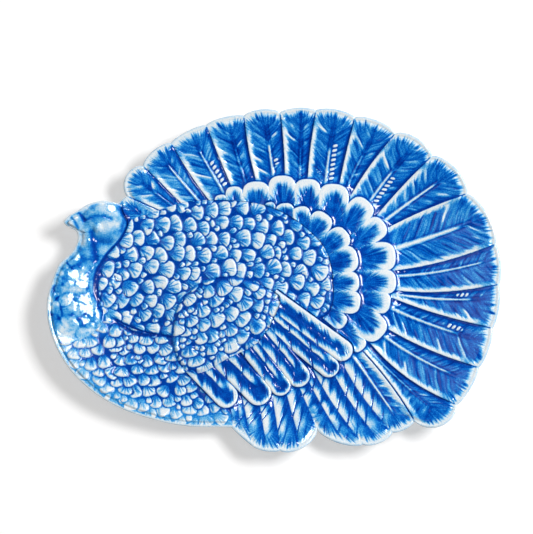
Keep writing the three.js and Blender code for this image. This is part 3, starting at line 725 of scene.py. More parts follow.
def lattice(outline, pitch, turn):
    """The crests of the solid's quilted area: a staggered lattice about the middle of its outline."""
    low, high = outline.min(0), outline.max(0)
    count = 2 * math.ceil((np.hypot(*(high - low)) / 2 + pitch) / pitch)
    row, step = np.meshgrid(np.arange(2 * count + 1), np.arange(0, 2 * count + 1, 2))
    crest = (row + step // 2) % 2 == 0
    along = (row[crest] - count + SCALE_LEAN) * pitch / 2
    across = (step[crest] - count) * pitch / 2
    middle = (low + high) / 2
    return np.stack([middle[0] + along * math.cos(turn) - across * math.sin(turn),
                     middle[1] + along * math.sin(turn) + across * math.cos(turn)], -1)


# %% Let the scales overlap
SMALL_SCALES = (2.8, 4.0)
DARTS = 4000
DART_CLEARANCE = 0.62
SMALL_ON_TOP = 0.9


def window(spot):
    """The rows and columns of the sheet round one scale."""
    column, row = int((spot[0] - gx[0, 0]) / CELL), int((spot[1] - gy[0, 0]) / CELL)
    n = int(1.7 * max(spot[2:4]) / CELL) + 3
    return slice(max(0, row - n), max(0, row + n)), slice(max(0, column - n), max(0, column + n))


def overlap(spots, large, rng, seed):
    """For each point: its way from the grooves, its share along its scale, its ray, its scale's shine."""
    on_top = np.where(np.arange(len(spots)) < large, 0, SMALL_ON_TOP)
    best, behind = np.full(gx.shape, -99.0), np.full(gx.shape, 9.0)
    depth, lead, reach, ray, shine = (np.zeros(gx.shape) for _ in range(5))
    for k, spot in enumerate(spots):
        size = max(spot[2:4])
        win = window(spot)
        a, b, inner = in_oval(spot, gx[win], gy[win])
        rank = 2.5 * (a + on_top[k]) + 6 * np.minimum(inner, 0.5)
        wins = rank > best[win]
        spoke = streaks(np.arctan2(b, a + 1.2) * size, np.hypot(a + 1.2, b) * size, seed + k % 17, 0.9, 16)
        gloss = rng.uniform(-0.14, 0.1) + (0.1 if k >= large else 0)
        for kept, value in ((best, rank), (depth, inner), (lead, a + on_top[k]), (ray, spoke), (shine, gloss),
                            (reach, (a + 1) / 2 + 0.12 * b * b)):
            kept[win] = np.where(wins, value, kept[win])
    for k, spot in enumerate(spots):
        win = window(spot)
        a, _, inner = in_oval(spot, gx[win], gy[win])
        above = (inner < 0) & (a + on_top[k] > lead[win] + 0.02)
        behind[win] = np.where(above, np.minimum(behind[win], -inner), behind[win])
    groove = -0.3 * np.logaddexp(-1.3 * (depth + 0.6) / 0.3, -0.9 * (behind - 0.4) / 0.3)
    return groove, np.clip(reach, 0, 1.1), ray, shine


# %% Shape the scaled areas
SCALE_CROWN = 1.5
NECK_SIDE = place(NECK_OUTLINE[1:8])
NECK_FOOT = place(NECK_OUTLINE[7:11] + [(-240, -58)])
# area, its height, the height of its edge, pitch and turn of its lattice, its scales' sizes in pitches, and
# the place that they lean away from
SCALED = [
    ("body_plumage", 3.2, 1.5, 15, 0, (0.43, 0.6), (-250, 45)),
    ("breast_plumage", 3.0, 1.5, 12, -math.pi / 3, (0.44, 0.62), (-150, 60)),
    ("wing_shoulder", 6.4, 3.4, 15, -math.pi / 5, (0.43, 0.6), (-130, 60)),
]


def scale_field(area, lift, foot, pitch, turn, sizes, away_from, seed):
    """Covers one area with scales, and gives back how many are large and how many small."""
    outline = OUTLINES[area]
    rng = np.random.default_rng(seed)
    low, high = outline.min(0) - 4, outline.max(0) + 4
    aim_at = lambda x, y: np.arctan2(y - away_from[1], x - away_from[0])
    places = lattice(outline, pitch, turn)
    places = places[((places > low) & (places < high)).all(1)]
    places += rng.normal(0, 0.14 * pitch, places.shape)
    large = len(places)
    along, across = pitch * rng.uniform(*sizes, (2, large)) * np.array([[0.95], [1.2]])
    aims = aim_at(*places.T) + rng.normal(0, 0.32, large)
    spots = np.column_stack([places, along, across, aims])
    spots = throw(rng, low, high, SMALL_SCALES, DARTS, spots, DART_CLEARANCE, aim_at)
    mine = point_owner == NUMBER[area] * STRIDE
    x, y, near_rim = gx[mine], gy[mine], rim_in[mine]
    groove, reach, ray, shine = (field[mine] for field in overlap(spots, large, rng, seed))
    inward = to_outline(outline, x, y)
    lower, border = 0, 0.6 if area == "wing_shoulder" else 1
    if area == "body_plumage":
        border = ease(25, 0, y)
        inward = np.where(inside(outline, x, y), inward, -inward)
        inward = inward + 2.6 * ease(14, 6, to_line(NECK_SIDE, x, y))
    if area == "wing_shoulder":
        lower = ease(-4, 8, 0.6 * (x + 50) - 0.8 * (y + 45))
        reach = reach + 0.22 * lower * ease(7, 1.5, inward)
    joins = ease(16, 4, to_line(NECK_FOOT, x, y))
    soft = lattice_noise(x, y, 4, seed + 7)
    fine = lattice_noise(x, y, 1.2, seed + 8)
    crown = SCALE_CROWN * ease(-0.2, 2.8, groove) * (0.45 + 0.55 * reach)
    slope = mix(4.5, 11, lower * ease(-35, -10, x))
    high = mix(mix(foot, lift, joins), lift - 0.3, ease(0, slope, inward)) + ease(-1, 2, inward) * crown
    relief[mine] = mix(high, LIP_TOP, ease(6.5, 3.6, near_rim))
    lines = ease(0.04, 0.45, -ray) * ease(1.0, 0.7, reach)
    white = (1 - 0.42 * lines) * ease(0.12, 0.9, reach + 0.24 * ray + shine + 0.12 * soft + 0.06 * fine)
    tint = mix(0.64 + 0.06 * soft - 0.1 * ray, 0.05, white)
    tint = mix(0.85, tint, ease(0.15, 1.35, groove + 0.25 * fine))
    border = border * (near_rim > 6) * (1 - joins) * (1 - lower)
    tint = mix(tint, 0.92, border * ease(3.0, 0.8, inward + 0.4 * fine))
    tint = mix(tint, 0.62 * tint, np.maximum(ease(24, 8, near_rim), 0.6 * joins))
    pool[mine] = mix(tint, 0.1, ease(2.8, 1.4, near_rim + 0.7 * fine))
    return large, len(spots) - large


for row in SCALED:
    print(row[0], "scales, large and small:", scale_field(*row, 700 + AREAS.index(row[0])))

# %% [markdown]
# ## Head and neck
# The head is a round ball with a small eye, a brow stripe and a short beak. Wattles hang below it, and the
# neck widens smoothly into the breast. Metaballs could blend such lumps. Here a soft maximum of a few round
# forms does the same on the sheet. The glaze is thin and mottled, and dark only in the creases.

# %% Shape the head and neck
# centre x, centre y, radius, height
HEAD_FORMS = [
    (-167, 58, 21, 8.0), (-175, 50, 6, 9.0), (-184, 46, 8, 5.5), (-182, 35, 8, 5.5), (-186, 24, 9, 5.0),
    (-198, 14, 13, 5.0), (-199, -6, 18, 5.5), (-196, -34, 24, 5.5), (-201, 55, 11, 5.0),
]
# width, depth, darkness, then the points of a crease
CREASES = [
    (1.5, 0.8, 0.85, [(-195, 66), (-191, 61), (-188, 57)]),
    (2.0, 0.4, 0.5, [(-188, 57), (-178, 61.5), (-170, 61.5), (-162, 59)]),
    (1.5, 0.5, 0.6, [(-202, 61), (-198, 56), (-195, 50)]),
    (3.0, 1.0, 0.85, [(-181, 46), (-179, 31), (-177, 19)]),
    (5.5, 0.5, 0.65, [(-175, 37), (-165, 37)]),
    (2.4, 0.5, 0.6, [(-153, 68), (-149, 60), (-152, 48)]),
    (3.0, 0.3, 0.4, [(-194, 30), (-189, 20), (-194, 10)]),
]
NECK_TOP = 2.6
BLEND = 0.55
mine = point_owner == NUMBER["head_and_neck"] * STRIDE
x, y, near_rim = gx[mine], gy[mine], rim_in[mine]
depth = to_outline(OUTLINES["head_and_neck"], x, y)
high = np.full(x.shape, math.exp(NECK_TOP / BLEND))
for fx, fy, radius, top in HEAD_FORMS:
    px, py = place((fx, fy))
    away = np.hypot(x - px, y - py) / (1.08 * radius)
    swell = (top - NECK_TOP) * np.clip(1 - away**2, 0, 1) ** 0.8
    high += np.exp((NECK_TOP + swell) / BLEND) - math.exp(NECK_TOP / BLEND)
high = BLEND * np.log(high)
print(f"head and neck swell from {high.min():.1f} to {high.max():.1f} mm")

# %% Texture and glaze of the head and neck
wobble = lattice_noise(x, y, 5, 902)
fine = lattice_noise(x, y, 2.2, 903)
cloud = 0.8 * lattice_noise(x, y, 9, 901) + 0.6 * wobble + 0.4 * fine
from_lump, between = cells(x + 3 * wobble, y + 3 * lattice_noise(x, y, 6, 907), 13, 908)
neck = ease(34, 14, y)
high += neck * (0.45 * ease(8, 0, from_lump) + 0.15 * wobble)
high += 0.3 * lattice_noise(x, y, 13, 905) + 0.07 * fine
veins = ease(3.8, 0, between) * (0.6 + 0.8 * wobble)
tint = mix(0.34 + 0.2 * cloud, 0.36 + 0.24 * cloud + 0.26 * veins, neck)
joins = ease(16, 4, to_line(NECK_FOOT, x, y))
tint += 0.14 * neck * ease(17, 4, depth) * ease(4, 22, near_rim) * (1 - joins)
for width, sunk, darkness, points in CREASES:
    crease = bell(to_line(place(points), x, y) + 0.6 * wobble, width)
    high -= sunk * crease
    tint = mix(tint, 0.9, darkness * crease)
# the eye, painted pale both as its white ball and as a painted glint on it, and two pale spots on the beak
for fx, fy, size in ((-171, 50.5, 5.0), (-196, 60, 2.6), (-202, 54, 2.4)):
    px, py = place((fx, fy))
    tint = mix(tint, 0.06, bell(np.hypot(x - px, y - py), size))
tint = mix(tint, 0.9, ease(2.8, 0.8, depth) * (near_rim > 7) * (1 - joins))
high = mix(high, mix(GROOVE, 3.3, joins), ease(mix(6, 14, joins), 0, depth) * (near_rim > 4))
relief[mine] = mix(high, LIP_TOP, ease(6.5, 3.0, near_rim))
pool[mine] = mix(tint, 0.14 + 0.12 * cloud, 0.8 * ease(4.0, 1.6, near_rim + wobble))
print(f"head and neck stand up to {relief[mine].max():.1f} mm over the dish")

# %% [markdown]
# ## Corners
# Where one sprig stands up beside a lower one, slip and glaze gather in the corner. They make a small
# fillet there, which fires dark and catches the light as a thin bright line. A Bevel modifier would round
# every edge alike, so the field itself is raised beside the sprigs that stand higher.

# %% Let the glaze gather in the corners
GATHER_REACH = 9


def gather(number, edge, dark, fillet):
    """Fills the corner beside an upper sprig. Edge is how far a point lies inside it, negative outside."""
    beside = (point_owner < number * STRIDE) & (point_owner > 0) & (edge < 0) & (edge > -GATHER_REACH)
    apart = 1 - ease(16, 4, to_line(NECK_FOOT, gx[beside], gy[beside]))
    near = np.exp(edge[beside] / 2.5) * apart
    over_fan = (point_owner[beside] < NUMBER["outer_coverts"] * STRIDE) & (number > NUMBER["flank_feathers"])
    relief[beside] = mix(relief[beside], TAIL_TOP, np.minimum(1, 1.6 * near) * over_fan) + fillet * near
    pool[beside] = mix(pool[beside], 0.95, dark * apart * np.exp(edge[beside] / 1.2))


for area, number in NUMBER.items():
    if area in LOBES:
        edges = [lobe_place(lobe, gx, gy, TIP_FULLNESS[area])[2] for lobe in LOBES[area]]
        gather(number, np.max(edges, axis=0), 0.9, 1.4)
    elif area in ("head_and_neck", "wing_shoulder"):
        edge = np.full(gx.shape, -99.0)
        low, high = OUTLINES[area].min(0) - GATHER_REACH, OUTLINES[area].max(0) + GATHER_REACH
        near = (gx > low[0]) & (gx < high[0]) & (gy > low[1]) & (gy < high[1])
        edge[near] = -to_outline(OUTLINES[area], gx[near], gy[near])
        gather(number, edge, 0.9 if area == "head_and_neck" else 0.5, 0.8)
print(f"relief from {relief.min():.1f} to {relief.max():.1f} mm")

# %% [markdown]
# ## From sheet to sprigs
# The field is now laid on the dish's face. One grid primitive takes it as its points, and each cell takes
# the slot of the sprig that it belongs to, so that the sheet can be cut apart by slot. The long tail is cut
# in three, to keep each mesh a handy size. A Solidify modifier would copy every ridge to the underside. So
# each sprig is extruded down instead, to a thin joint of slip over the dish. Its underside is never seen,
# so it is thinned there.

# %% Lay the field on the dish
# the rolled lip, in from the edge and up from the bare face
LIP = [(7, -0.4), (5.6, 0.2), (4.6, 0.75), (3.7, 1.1), (2.8, 1.25), (1.9, 1.2), (1.1, 0.9), (0.5, 0.35),
       (0.12, -0.5), (0, -1.6), (0.1, -2.8), (0.45, -4.0), (1.1, -5.0), (2.1, -5.7), (3.6, -6.0)]
LIP_EDGE = 7
lip_in, lip_up = np.array(LIP[LIP_EDGE::-1]).T
over_lip = np.interp(rim_in, lip_in, lip_up) + mix(-0.12, 0.06, ease(1.0, 1.6, rim_in))
relief = mix(relief, over_lip, ease(5.5, 3.2, rim_in))
ground = face_height(gx, gy)
TAIL_CUTS = (6, 11)
PIECES = ["tail_feathers_left", "tail_feathers_top", "tail_feathers_right", "flank_feather_row",
          "outer_covert_row", "inner_covert_row", "breast_scales", "body_scales", "head_and_neck_relief",
          "wing_feather_row", "wing_shoulder_scales"]
area_of_cell = owner // STRIDE
in_tail = area_of_cell == NUMBER["tail_fan"]
slot_of_cell = np.where(in_tail, np.digitize(owner % STRIDE, TAIL_CUTS), area_of_cell + 1)
print(f"face of the dish from {ground.min():.1f} to {ground.max():.1f} mm over the table")


# %% Make the sheet and cut it
def move_points(mesh, places):
    """Sets a mesh's vertices, one row each."""
    mesh.vertices.foreach_set("co", places.astype(np.float32).ravel())
    mesh.update()


def give_values(mesh, name, values):
    """Gives a mesh one value at each vertex, under this name."""
    mesh.attributes.new(name, "FLOAT", "POINT").data.foreach_set("value", values.astype(np.float32).ravel())


bpy.ops.object.select_all(action="DESELECT")
bpy.ops.mesh.primitive_grid_add(x_subdivisions=COLUMNS, y_subdivisions=ROWS, size=2)
sheet = bpy.context.object
move_points(sheet.data, np.stack([gx, gy, ground + relief], -1) * MM)
give_values(sheet.data, "pool", pool)
give_values(sheet.data, "ground", (ground + SLIP) * MM)
for piece_name in PIECES:
    sheet.data.materials.append(bpy.data.materials.new(piece_name))
sheet.data.polygons.foreach_set("material_index", slot_of_cell.ravel().astype(np.int32))
bpy.ops.object.mode_set(mode="EDIT")
bpy.ops.mesh.select_mode(type="FACE")
bpy.ops.mesh.select_all(action="DESELECT")
bpy.ops.object.mode_set(mode="OBJECT")
sheet.data.polygons.foreach_set("select", (owner == 0).ravel())
bpy.ops.object.mode_set(mode="EDIT")
bpy.ops.mesh.delete(type="FACE")
bpy.ops.mesh.select_all(action="SELECT")
bpy.ops.mesh.separate(type="MATERIAL")
bpy.ops.object.mode_set(mode="OBJECT")
cut_pieces = [o for o in bpy.context.selected_objects if o.type == "MESH"]
print("sprigs cut from the sheet:", len(cut_pieces))


# %% Give each sprig its thickness
def pick(piece):
    """Selects one piece and nothing else."""
    bpy.ops.object.select_all(action="DESELECT")
    piece.select_set(True)
    bpy.context.view_layer.objects.active = piece


def points_of(mesh):
    """Where a mesh's vertices are, one row each."""
    found = np.zeros(3 * len(mesh.vertices), np.float32)
    mesh.vertices.foreach_get("co", found)
    return found.reshape(-1, 3)


def values_of(mesh, name):
    """One attribute's value at each vertex."""
    found = np.zeros(len(mesh.vertices), np.float32)
    mesh.attributes[name].data.foreach_get("value", found)
    return found


UNDERSIDE_KEPT = 0.05
SPRIG_CREASE = math.radians(62)
sprigs = {}
for piece in cut_pieces:
    pick(piece)
    piece.name = piece.data.materials[0].name
    bpy.ops.object.mode_set(mode="EDIT")
    bpy.ops.mesh.select_all(action="SELECT")
    bpy.ops.mesh.extrude_region()
    bpy.ops.object.mode_set(mode="OBJECT")
    mesh = piece.data
    raised = np.zeros(len(mesh.vertices), bool)
    mesh.vertices.foreach_get("select", raised)
    places = points_of(mesh)
    places[~raised, 2] = values_of(mesh, "ground")[~raised]
    move_points(mesh, places)
    corners = np.zeros(4 * len(mesh.polygons), np.int32)
    mesh.polygons.foreach_get("vertices", corners)
    below = ~raised[corners.reshape(-1, 4)].any(1)
    mesh.vertices.foreach_set("select", np.zeros(len(mesh.vertices), bool))
    mesh.edges.foreach_set("select", np.zeros(len(mesh.edges), bool))
    mesh.polygons.foreach_set("select", below)
    bpy.ops.object.mode_set(mode="EDIT")
    bpy.ops.mesh.decimate(ratio=UNDERSIDE_KEPT)
    bpy.ops.object.mode_set(mode="OBJECT")
    bpy.ops.object.shade_smooth_by_angle(angle=SPRIG_CREASE)
    sprigs[piece.name] = piece
    print(piece.name, sum(len(p.vertices) - 2 for p in piece.data.polygons), "triangles")

# %% [markdown]
# ## Dish and foot ring
# The dish is turned from rings: from the middle of its floor out to the rolled lip, over its edge, and back
# under to the middle. A Screw modifier would turn a round dish, but this one's rim is scalloped. So a
# circle is extruded ring by ring, and then each ring is set to its place. The foot ring is made the same
# way, and closed on itself by a bridge.

# %% Tools of the wheel
AROUND = 1440
DISH_CREASE = math.radians(60)
TURN = np.linspace(-math.pi, math.pi, AROUND, endpoint=False)
RIM_RING = np.interp(TURN, ROUND, RIM_AT)
STEEP_RING = np.interp(TURN, ROUND, STEEP_AT)
FACE_SHARES = (0.3, 0.6, 0.68, 0.76, 0.83, 0.89, 0.94)


def ring_at(reach, up):
    """A ring of the dish, this far out from its middle and this far up from its face."""
    x, y = reach * np.cos(TURN), reach * np.sin(TURN)
    return np.stack([x, y, face_height(x, y) + up], -1)


def turned(name, rings, ring_closed):
    """Extrudes a circle from ring to ring, then fills its ends or joins them."""
    around = len(rings[0])
    bpy.ops.object.select_all(action="DESELECT")
    bpy.ops.mesh.primitive_circle_add(vertices=around, radius=1)
    piece = bpy.context.object
    piece.name = name
    circle = points_of(piece.data)
    step = np.arctan2(circle[:, 1], circle[:, 0])
    step = np.round((step + math.pi) / (2 * math.pi) * around).astype(int) % around
    places = [rings[0][step]]
    for ring in rings[1:]:
        bpy.ops.object.mode_set(mode="EDIT")
        bpy.ops.mesh.extrude_edges_move()
        bpy.ops.object.mode_set(mode="OBJECT")
        places.append(ring[step])
    move_points(piece.data, np.vstack(places) * MM)
    bpy.ops.object.mode_set(mode="EDIT")
    bpy.ops.mesh.select_mode(type="EDGE")
    bpy.ops.mesh.select_all(action="DESELECT")
    bpy.ops.mesh.select_non_manifold()
    if ring_closed:
        bpy.ops.mesh.bridge_edge_loops()
    else:
        bpy.ops.mesh.edge_face_add()
    bpy.ops.mesh.select_all(action="SELECT")
    bpy.ops.mesh.normals_make_consistent(inside=False)
    bpy.ops.object.mode_set(mode="OBJECT")
    bpy.ops.object.shade_smooth_by_angle(angle=DISH_CREASE)
    print(name, len(piece.data.polygons), "faces")
    return piece


# %% Turn the dish and its foot
inner = RIM_RING - LIP[0][0] * STEEP_RING
rings = [ring_at(share * inner, 0) for share in FACE_SHARES]
rings += [ring_at(RIM_RING - inward * STEEP_RING, up) for inward, up in LIP]
rings += [ring_at(share * inner, -WALL) for share in reversed(FACE_SHARES)]
dish = turned("dish_body", rings, False)

FOOT_AROUND = 360
# one side of the foot, in from its outer edge and up from the table, and then the other side
FOOT_SIDE = [(0, FOOT_HEIGHT - SLIP), (0.3, 2.6), (0.7, 1.4), (1.2, 0.5), (1.9, 0.08), (2.6, 0)]
other_side = [(FOOT_WIDTH - inward, up) for inward, up in FOOT_SIDE]
FOOT_PROFILE = other_side[:1] + FOOT_SIDE + other_side[:0:-1]
foot_turn = np.linspace(-math.pi, math.pi, FOOT_AROUND, endpoint=False)
foot_reach = FLOOR_SHARE * np.interp(foot_turn, ROUND, BOWL_AT)
foot_rings = []
for inward, up in FOOT_PROFILE:
    reach = foot_reach - inward
    x, y = reach * np.cos(foot_turn), reach * np.sin(foot_turn)
    foot_rings.append(np.stack([x, y, np.full(FOOT_AROUND, up)], -1))
foot = turned("foot_ring_turned", foot_rings, True)

# %% [markdown]
# ## Glaze
# The glaze is one effect on every sprig, so it is a node group. It reads how deep the glaze lies, which the
# sheet carries as an attribute, breaks it up with speckle and cloud, and turns it into colour: white where
# it runs thin, sky blue, cobalt, and navy where it pools. A painted image would do this too, but the depth
# is already known from the sculpting. Each material sets its own share of speckle and cloud. A very slight
# ripple stands for the skin of the glaze.

# %% The pooled glaze group
# how deep the glaze lies, and its colour there
GLAZE_STOPS = [
    (0.0, (240, 242, 243)), (0.1, (222, 235, 242)), (0.22, (180, 214, 239)), (0.36, (114, 188, 233)),
    (0.5, (46, 150, 221)), (0.64, (6, 106, 202)), (0.8, (1, 70, 172)), (1.0, (1, 44, 136)),
]


def linear(colour):
    """A screen colour, from 0 to 255, as the linear one that a shader takes."""
    return [((c / 255 + 0.055) / 1.055) ** 2.4 if c > 10 else c / 3294 for c in colour] + [1]


def glaze_group():
    """Colour, roughness and ripple of the glaze from its depth."""
    group = bpy.data.node_groups.new("pooled_glaze", "ShaderNodeTree")
    for name in ("Speckle", "Cloud"):
        group.interface.new_socket(name, in_out="INPUT", socket_type="NodeSocketFloat")
    group.interface.new_socket("Color", in_out="OUTPUT", socket_type="NodeSocketColor")
    group.interface.new_socket("Roughness", in_out="OUTPUT", socket_type="NodeSocketFloat")
    group.interface.new_socket("Height", in_out="OUTPUT", socket_type="NodeSocketFloat")
    new, link = group.nodes.new, group.links.new
    given, put = new("NodeGroupInput"), new("NodeGroupOutput")
    depth = new("ShaderNodeAttribute")
    depth.attribute_name = "pool"
    where = new("ShaderNodeTexCoord")

    def noise(scale, detail):
        node = new("ShaderNodeTexNoise")
        node.inputs["Scale"].default_value = scale
        node.inputs["Detail"].default_value = detail
        link(where.outputs["Object"], node.inputs["Vector"])
        middle = new("ShaderNodeMath")
        middle.operation = "SUBTRACT"
        link(node.outputs["Fac"], middle.inputs[0])
        middle.inputs[1].default_value = 0.5
        return middle.outputs[0]

    def times_add(value, factor, rest):
        node = new("ShaderNodeMath")
        node.operation = "MULTIPLY_ADD"
        link(value, node.inputs[0])
        link(factor, node.inputs[1])
        link(rest, node.inputs[2])
        return node.outputs[0]

    speckle, cloud = noise(900, 3), noise(160, 3)
    broken = times_add(speckle, given.outputs["Speckle"], depth.outputs["Fac"])
    broken = times_add(cloud, given.outputs["Cloud"], broken)
    ramp = new("ShaderNodeValToRGB")
    for at, _ in GLAZE_STOPS[1:-1]:
        ramp.color_ramp.elements.new(at)
    for element, (_, colour) in zip(ramp.color_ramp.elements, GLAZE_STOPS):
        element.color = linear(colour)
    link(broken, ramp.inputs["Fac"])
    rough = new("ShaderNodeMapRange")
    link(speckle, rough.inputs["Value"])
    for socket, value in (("From Min", -0.3), ("From Max", 0.3), ("To Min", 0.05), ("To Max", 0.12)):
        rough.inputs[socket].default_value = value
    link(ramp.outputs["Color"], put.inputs["Color"])
    link(rough.outputs["Result"], put.inputs["Roughness"])
    link(cloud, put.inputs["Height"])
    return group


GLAZE = glaze_group()
print("glaze group:", len(GLAZE.nodes), "nodes")


# %% Glaze the sprigs
def glazed(name, speckle, cloud):
    """A glazed material with its own share of speckle and cloud."""
    material = bpy.data.materials.new(name)
    material.use_nodes = True
    nodes, link = material.node_tree.nodes, material.node_tree.links.new
    shader = nodes["Principled BSDF"]
    shader.inputs["IOR"].default_value = 1.5
    shader.inputs["Specular IOR Level"].default_value = 0.5
    skin = nodes.new("ShaderNodeGroup")
    skin.node_tree = GLAZE
    skin.inputs["Speckle"].default_value = speckle
    skin.inputs["Cloud"].default_value = cloud
    ripple = nodes.new("ShaderNodeBump")
    ripple.inputs["Strength"].default_value = 0.12
    ripple.inputs["Distance"].default_value = 0.0006
    link(skin.outputs["Color"], shader.inputs["Base Color"])
    link(skin.outputs["Roughness"], shader.inputs["Roughness"])
    link(skin.outputs["Height"], ripple.inputs["Height"])
    link(ripple.outputs["Normal"], shader.inputs["Normal"])
    return material


NODE_OF = {name: "tail_fan" for name in PIECES[:3]}
NODE_OF.update(zip(PIECES[3:], AREAS[1:]))
GLAZES = {node: glazed("glaze_" + node, 0.55, 0.16) for node in AREAS}
for name, piece in sprigs.items():
    piece.data.materials.clear()
    piece.data.materials.append(GLAZES[NODE_OF[name]])
    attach(piece, "root")
    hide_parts(NODE_OF[name])
print("sprigs glazed:", len(sprigs), "with", len(GLAZES), "materials")

# %% Glaze the dish
dx, dy, dz = points_of(dish.data).T / MM
over_face = dz - face_height(dx, dy)
on_lip = over_face > -1
cloud = lattice_noise(dx, dy, 13, 950)
by_head = np.maximum(ease(-140, -165, dx), ease(-60, -90, dx) * ease(-60, -90, dy))
wall_pool = mix(0.03, 0.42, ease(-70, 10, dx) * ease(-60, -120, dy)) + 0.07 * cloud
dish_pool = np.where(on_lip, 0.17 + 0.06 * cloud - 0.07 * by_head, wall_pool)
dish_pool = np.where(over_face < -4.5, 0.16 + 0.08 * cloud, dish_pool)
dish_in = from_rim(dx, dy)
for border in all_borders[1:-1]:
    line, _ = border_at(border, np.linspace(0.8, 1.02, 8))
    notch = bell(to_line(line, dx, dy), 0.9) * ease(1.2, 3.0, dish_in)
    dish_pool = mix(dish_pool, 0.6, notch * on_lip)
give_values(dish.data, "pool", dish_pool)
dish.data.materials.append(glazed("glaze_lip_and_underside", 0.3, 0.2))
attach(dish, "root")
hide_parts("dish")
print(f"glaze on the dish from {dish_pool.min():.2f} to {dish_pool.max():.2f} deep")

# %% [markdown]
# ## Bare clay
# The foot is wiped clean before the firing, so that the platter doesn't stick to the kiln shelf. It shows
# the body of the clay: warm and matt, with fine grit. One noise makes both the grit's colour and its tooth,
# so that they fall in the same places.

# %% Bare clay for the foot
clay = bpy.data.materials.new("bare_clay_foot")
clay.use_nodes = True
nodes, link = clay.node_tree.nodes, clay.node_tree.links.new
shader = nodes["Principled BSDF"]
shader.inputs["Roughness"].default_value = 0.85
where = nodes.new("ShaderNodeTexCoord")
grit = nodes.new("ShaderNodeTexNoise")
grit.inputs["Scale"].default_value = 700
grit.inputs["Detail"].default_value = 5
body = nodes.new("ShaderNodeValToRGB")
CLAY_STOPS = [(0.3, (0.42, 0.34, 0.25, 1)), (0.7, (0.66, 0.57, 0.45, 1))]
for element, (at, colour) in zip(body.color_ramp.elements, CLAY_STOPS):
    element.position, element.color = at, colour
tooth = nodes.new("ShaderNodeBump")
tooth.inputs["Strength"].default_value = 0.4
tooth.inputs["Distance"].default_value = 0.0004
link(where.outputs["Object"], grit.inputs["Vector"])
link(grit.outputs["Fac"], body.inputs["Fac"])
link(body.outputs["Color"], shader.inputs["Base Color"])
link(grit.outputs["Fac"], tooth.inputs["Height"])
link(tooth.outputs["Normal"], shader.inputs["Normal"])
foot.data.materials.append(clay)
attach(foot, "root")
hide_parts("foot_ring")
print("pieces riding on the frame:", len(sprigs) + 2)

# %% [markdown]
# ## Studio
# The platter lies on a white table under one large soft light from the right, with a weak fill from the
# left and a pale sky. The glaze mirrors only a little of that sky, as under a studio's dark ceiling. The
# camera looks almost straight down through a long lens. The floor adds a little white of its own wherever
# it is seen, so that it reads as plain white and still holds the shadow.

# %% Floor
FLOOR_GLOW = 0.42
bpy.ops.object.select_all(action="DESELECT")
bpy.ops.mesh.primitive_plane_add(size=12)
floor = bpy.context.object
floor.name = "studio_floor"
paper = bpy.data.materials.new("white_paper")
paper.use_nodes = True
nodes, link = paper.node_tree.nodes, paper.node_tree.links.new
shader = nodes["Principled BSDF"]
shader.inputs["Base Color"].default_value = (0.72, 0.72, 0.72, 1)
shader.inputs["Roughness"].default_value = 0.9
shader.inputs["Specular IOR Level"].default_value = 0.1
seen = nodes.new("ShaderNodeLightPath")
seen_or, seen_at_all, share = (nodes.new("ShaderNodeMath") for _ in range(3))
seen_or.operation, seen_at_all.operation, share.operation = "MAXIMUM", "MAXIMUM", "MULTIPLY"
share.inputs[1].default_value = FLOOR_GLOW
glow = nodes.new("ShaderNodeEmission")
glow.inputs["Color"].default_value = (1, 0.98, 0.965, 1)
both = nodes.new("ShaderNodeAddShader")
link(seen.outputs["Is Camera Ray"], seen_or.inputs[0])
link(seen.outputs["Is Glossy Ray"], seen_or.inputs[1])
link(seen_or.outputs[0], seen_at_all.inputs[0])
link(seen.outputs["Is Transmission Ray"], seen_at_all.inputs[1])
link(seen_at_all.outputs[0], share.inputs[0])
link(share.outputs[0], glow.inputs["Strength"])
link(shader.outputs[0], both.inputs[0])
link(glow.outputs[0], both.inputs[1])
link(both.outputs[0], nodes["Material Output"].inputs["Surface"])
floor.data.materials.append(paper)
print("floor:", floor.name)

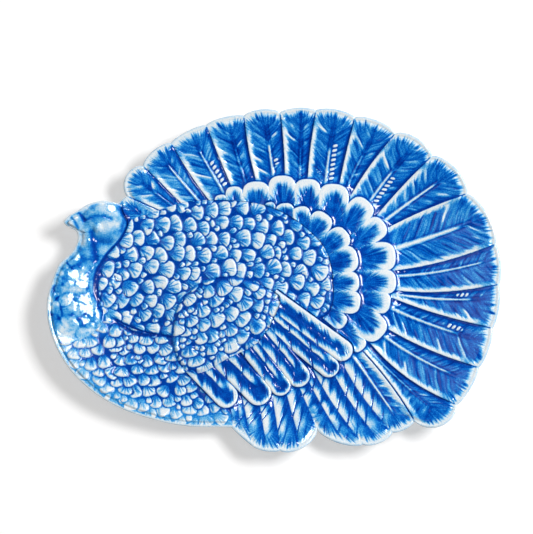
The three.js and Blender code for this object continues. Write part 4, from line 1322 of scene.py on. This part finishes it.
# %% Sky and lamps
SKY_IN_GLAZE = 0.1
world = bpy.context.scene.world or bpy.data.worlds.new("studio")
bpy.context.scene.world = world
world.use_nodes = True
nodes, link = world.node_tree.nodes, world.node_tree.links.new
nodes["Background"].inputs["Color"].default_value = (1, 1, 1, 1)
way = nodes.new("ShaderNodeTexCoord")
parts = nodes.new("ShaderNodeSeparateXYZ")
sky = nodes.new("ShaderNodeMapRange")
for socket, value in (("From Min", 0.3), ("From Max", 0.95), ("To Min", 0.5), ("To Max", 0.05)):
    sky.inputs[socket].default_value = value
ray = nodes.new("ShaderNodeLightPath")
dim, less = nodes.new("ShaderNodeMath"), nodes.new("ShaderNodeMath")
dim.operation, less.operation = "MULTIPLY_ADD", "MULTIPLY"
dim.inputs[1].default_value, dim.inputs[2].default_value = SKY_IN_GLAZE - 1, 1
link(way.outputs["Generated"], parts.inputs["Vector"])
link(parts.outputs["Z"], sky.inputs["Value"])
link(ray.outputs["Is Glossy Ray"], dim.inputs[0])
link(sky.outputs["Result"], less.inputs[0])
link(dim.outputs[0], less.inputs[1])
link(less.outputs[0], nodes["Background"].inputs["Strength"])


def area_light(name, place_at, size, watts):
    """A rectangular lamp that faces the middle of the table."""
    lamp = bpy.data.lights.new(name, "AREA")
    lamp.shape = "RECTANGLE"
    lamp.size, lamp.size_y, lamp.energy = size[0], size[1], watts
    holder = bpy.data.objects.new(name, lamp)
    bpy.context.scene.collection.objects.link(holder)
    holder.location = place_at
    x, y, z = place_at
    holder.rotation_euler = (math.atan2(math.hypot(x, y), z), 0, math.atan2(-y, -x) - math.pi / 2)


area_light("window", (1.2, 0.5, 1.75), (0.85, 0.6), watts=44)
area_light("soft_fill", (-0.83, 0.38, 1.8), (1.0, 0.9), watts=2.4)
print("lamps:", [lamp.name for lamp in bpy.data.lights])

# %% Camera
ELEVATION = math.radians(85)
DISTANCE = 2.4
TARGET = np.array([-0.0075, 0.0125, 0.02])
VIEW_WIDTH = 0.531
SENSOR = 36
camera_data = bpy.data.cameras.new("overhead")
camera = bpy.data.objects.new("overhead", camera_data)
bpy.context.scene.collection.objects.link(camera)
camera.location = TARGET + DISTANCE * np.array([0, -math.cos(ELEVATION), math.sin(ELEVATION)])
camera.rotation_euler = (math.pi / 2 - ELEVATION, 0, 0)
camera_data.sensor_width = SENSOR
camera_data.lens = SENSOR * DISTANCE / VIEW_WIDTH
camera_data.clip_end = 50
bpy.context.scene.camera = camera
bpy.context.scene.view_settings.view_transform = "Standard"
print(f"lens {camera_data.lens:.0f} mm, {DISTANCE} m away")
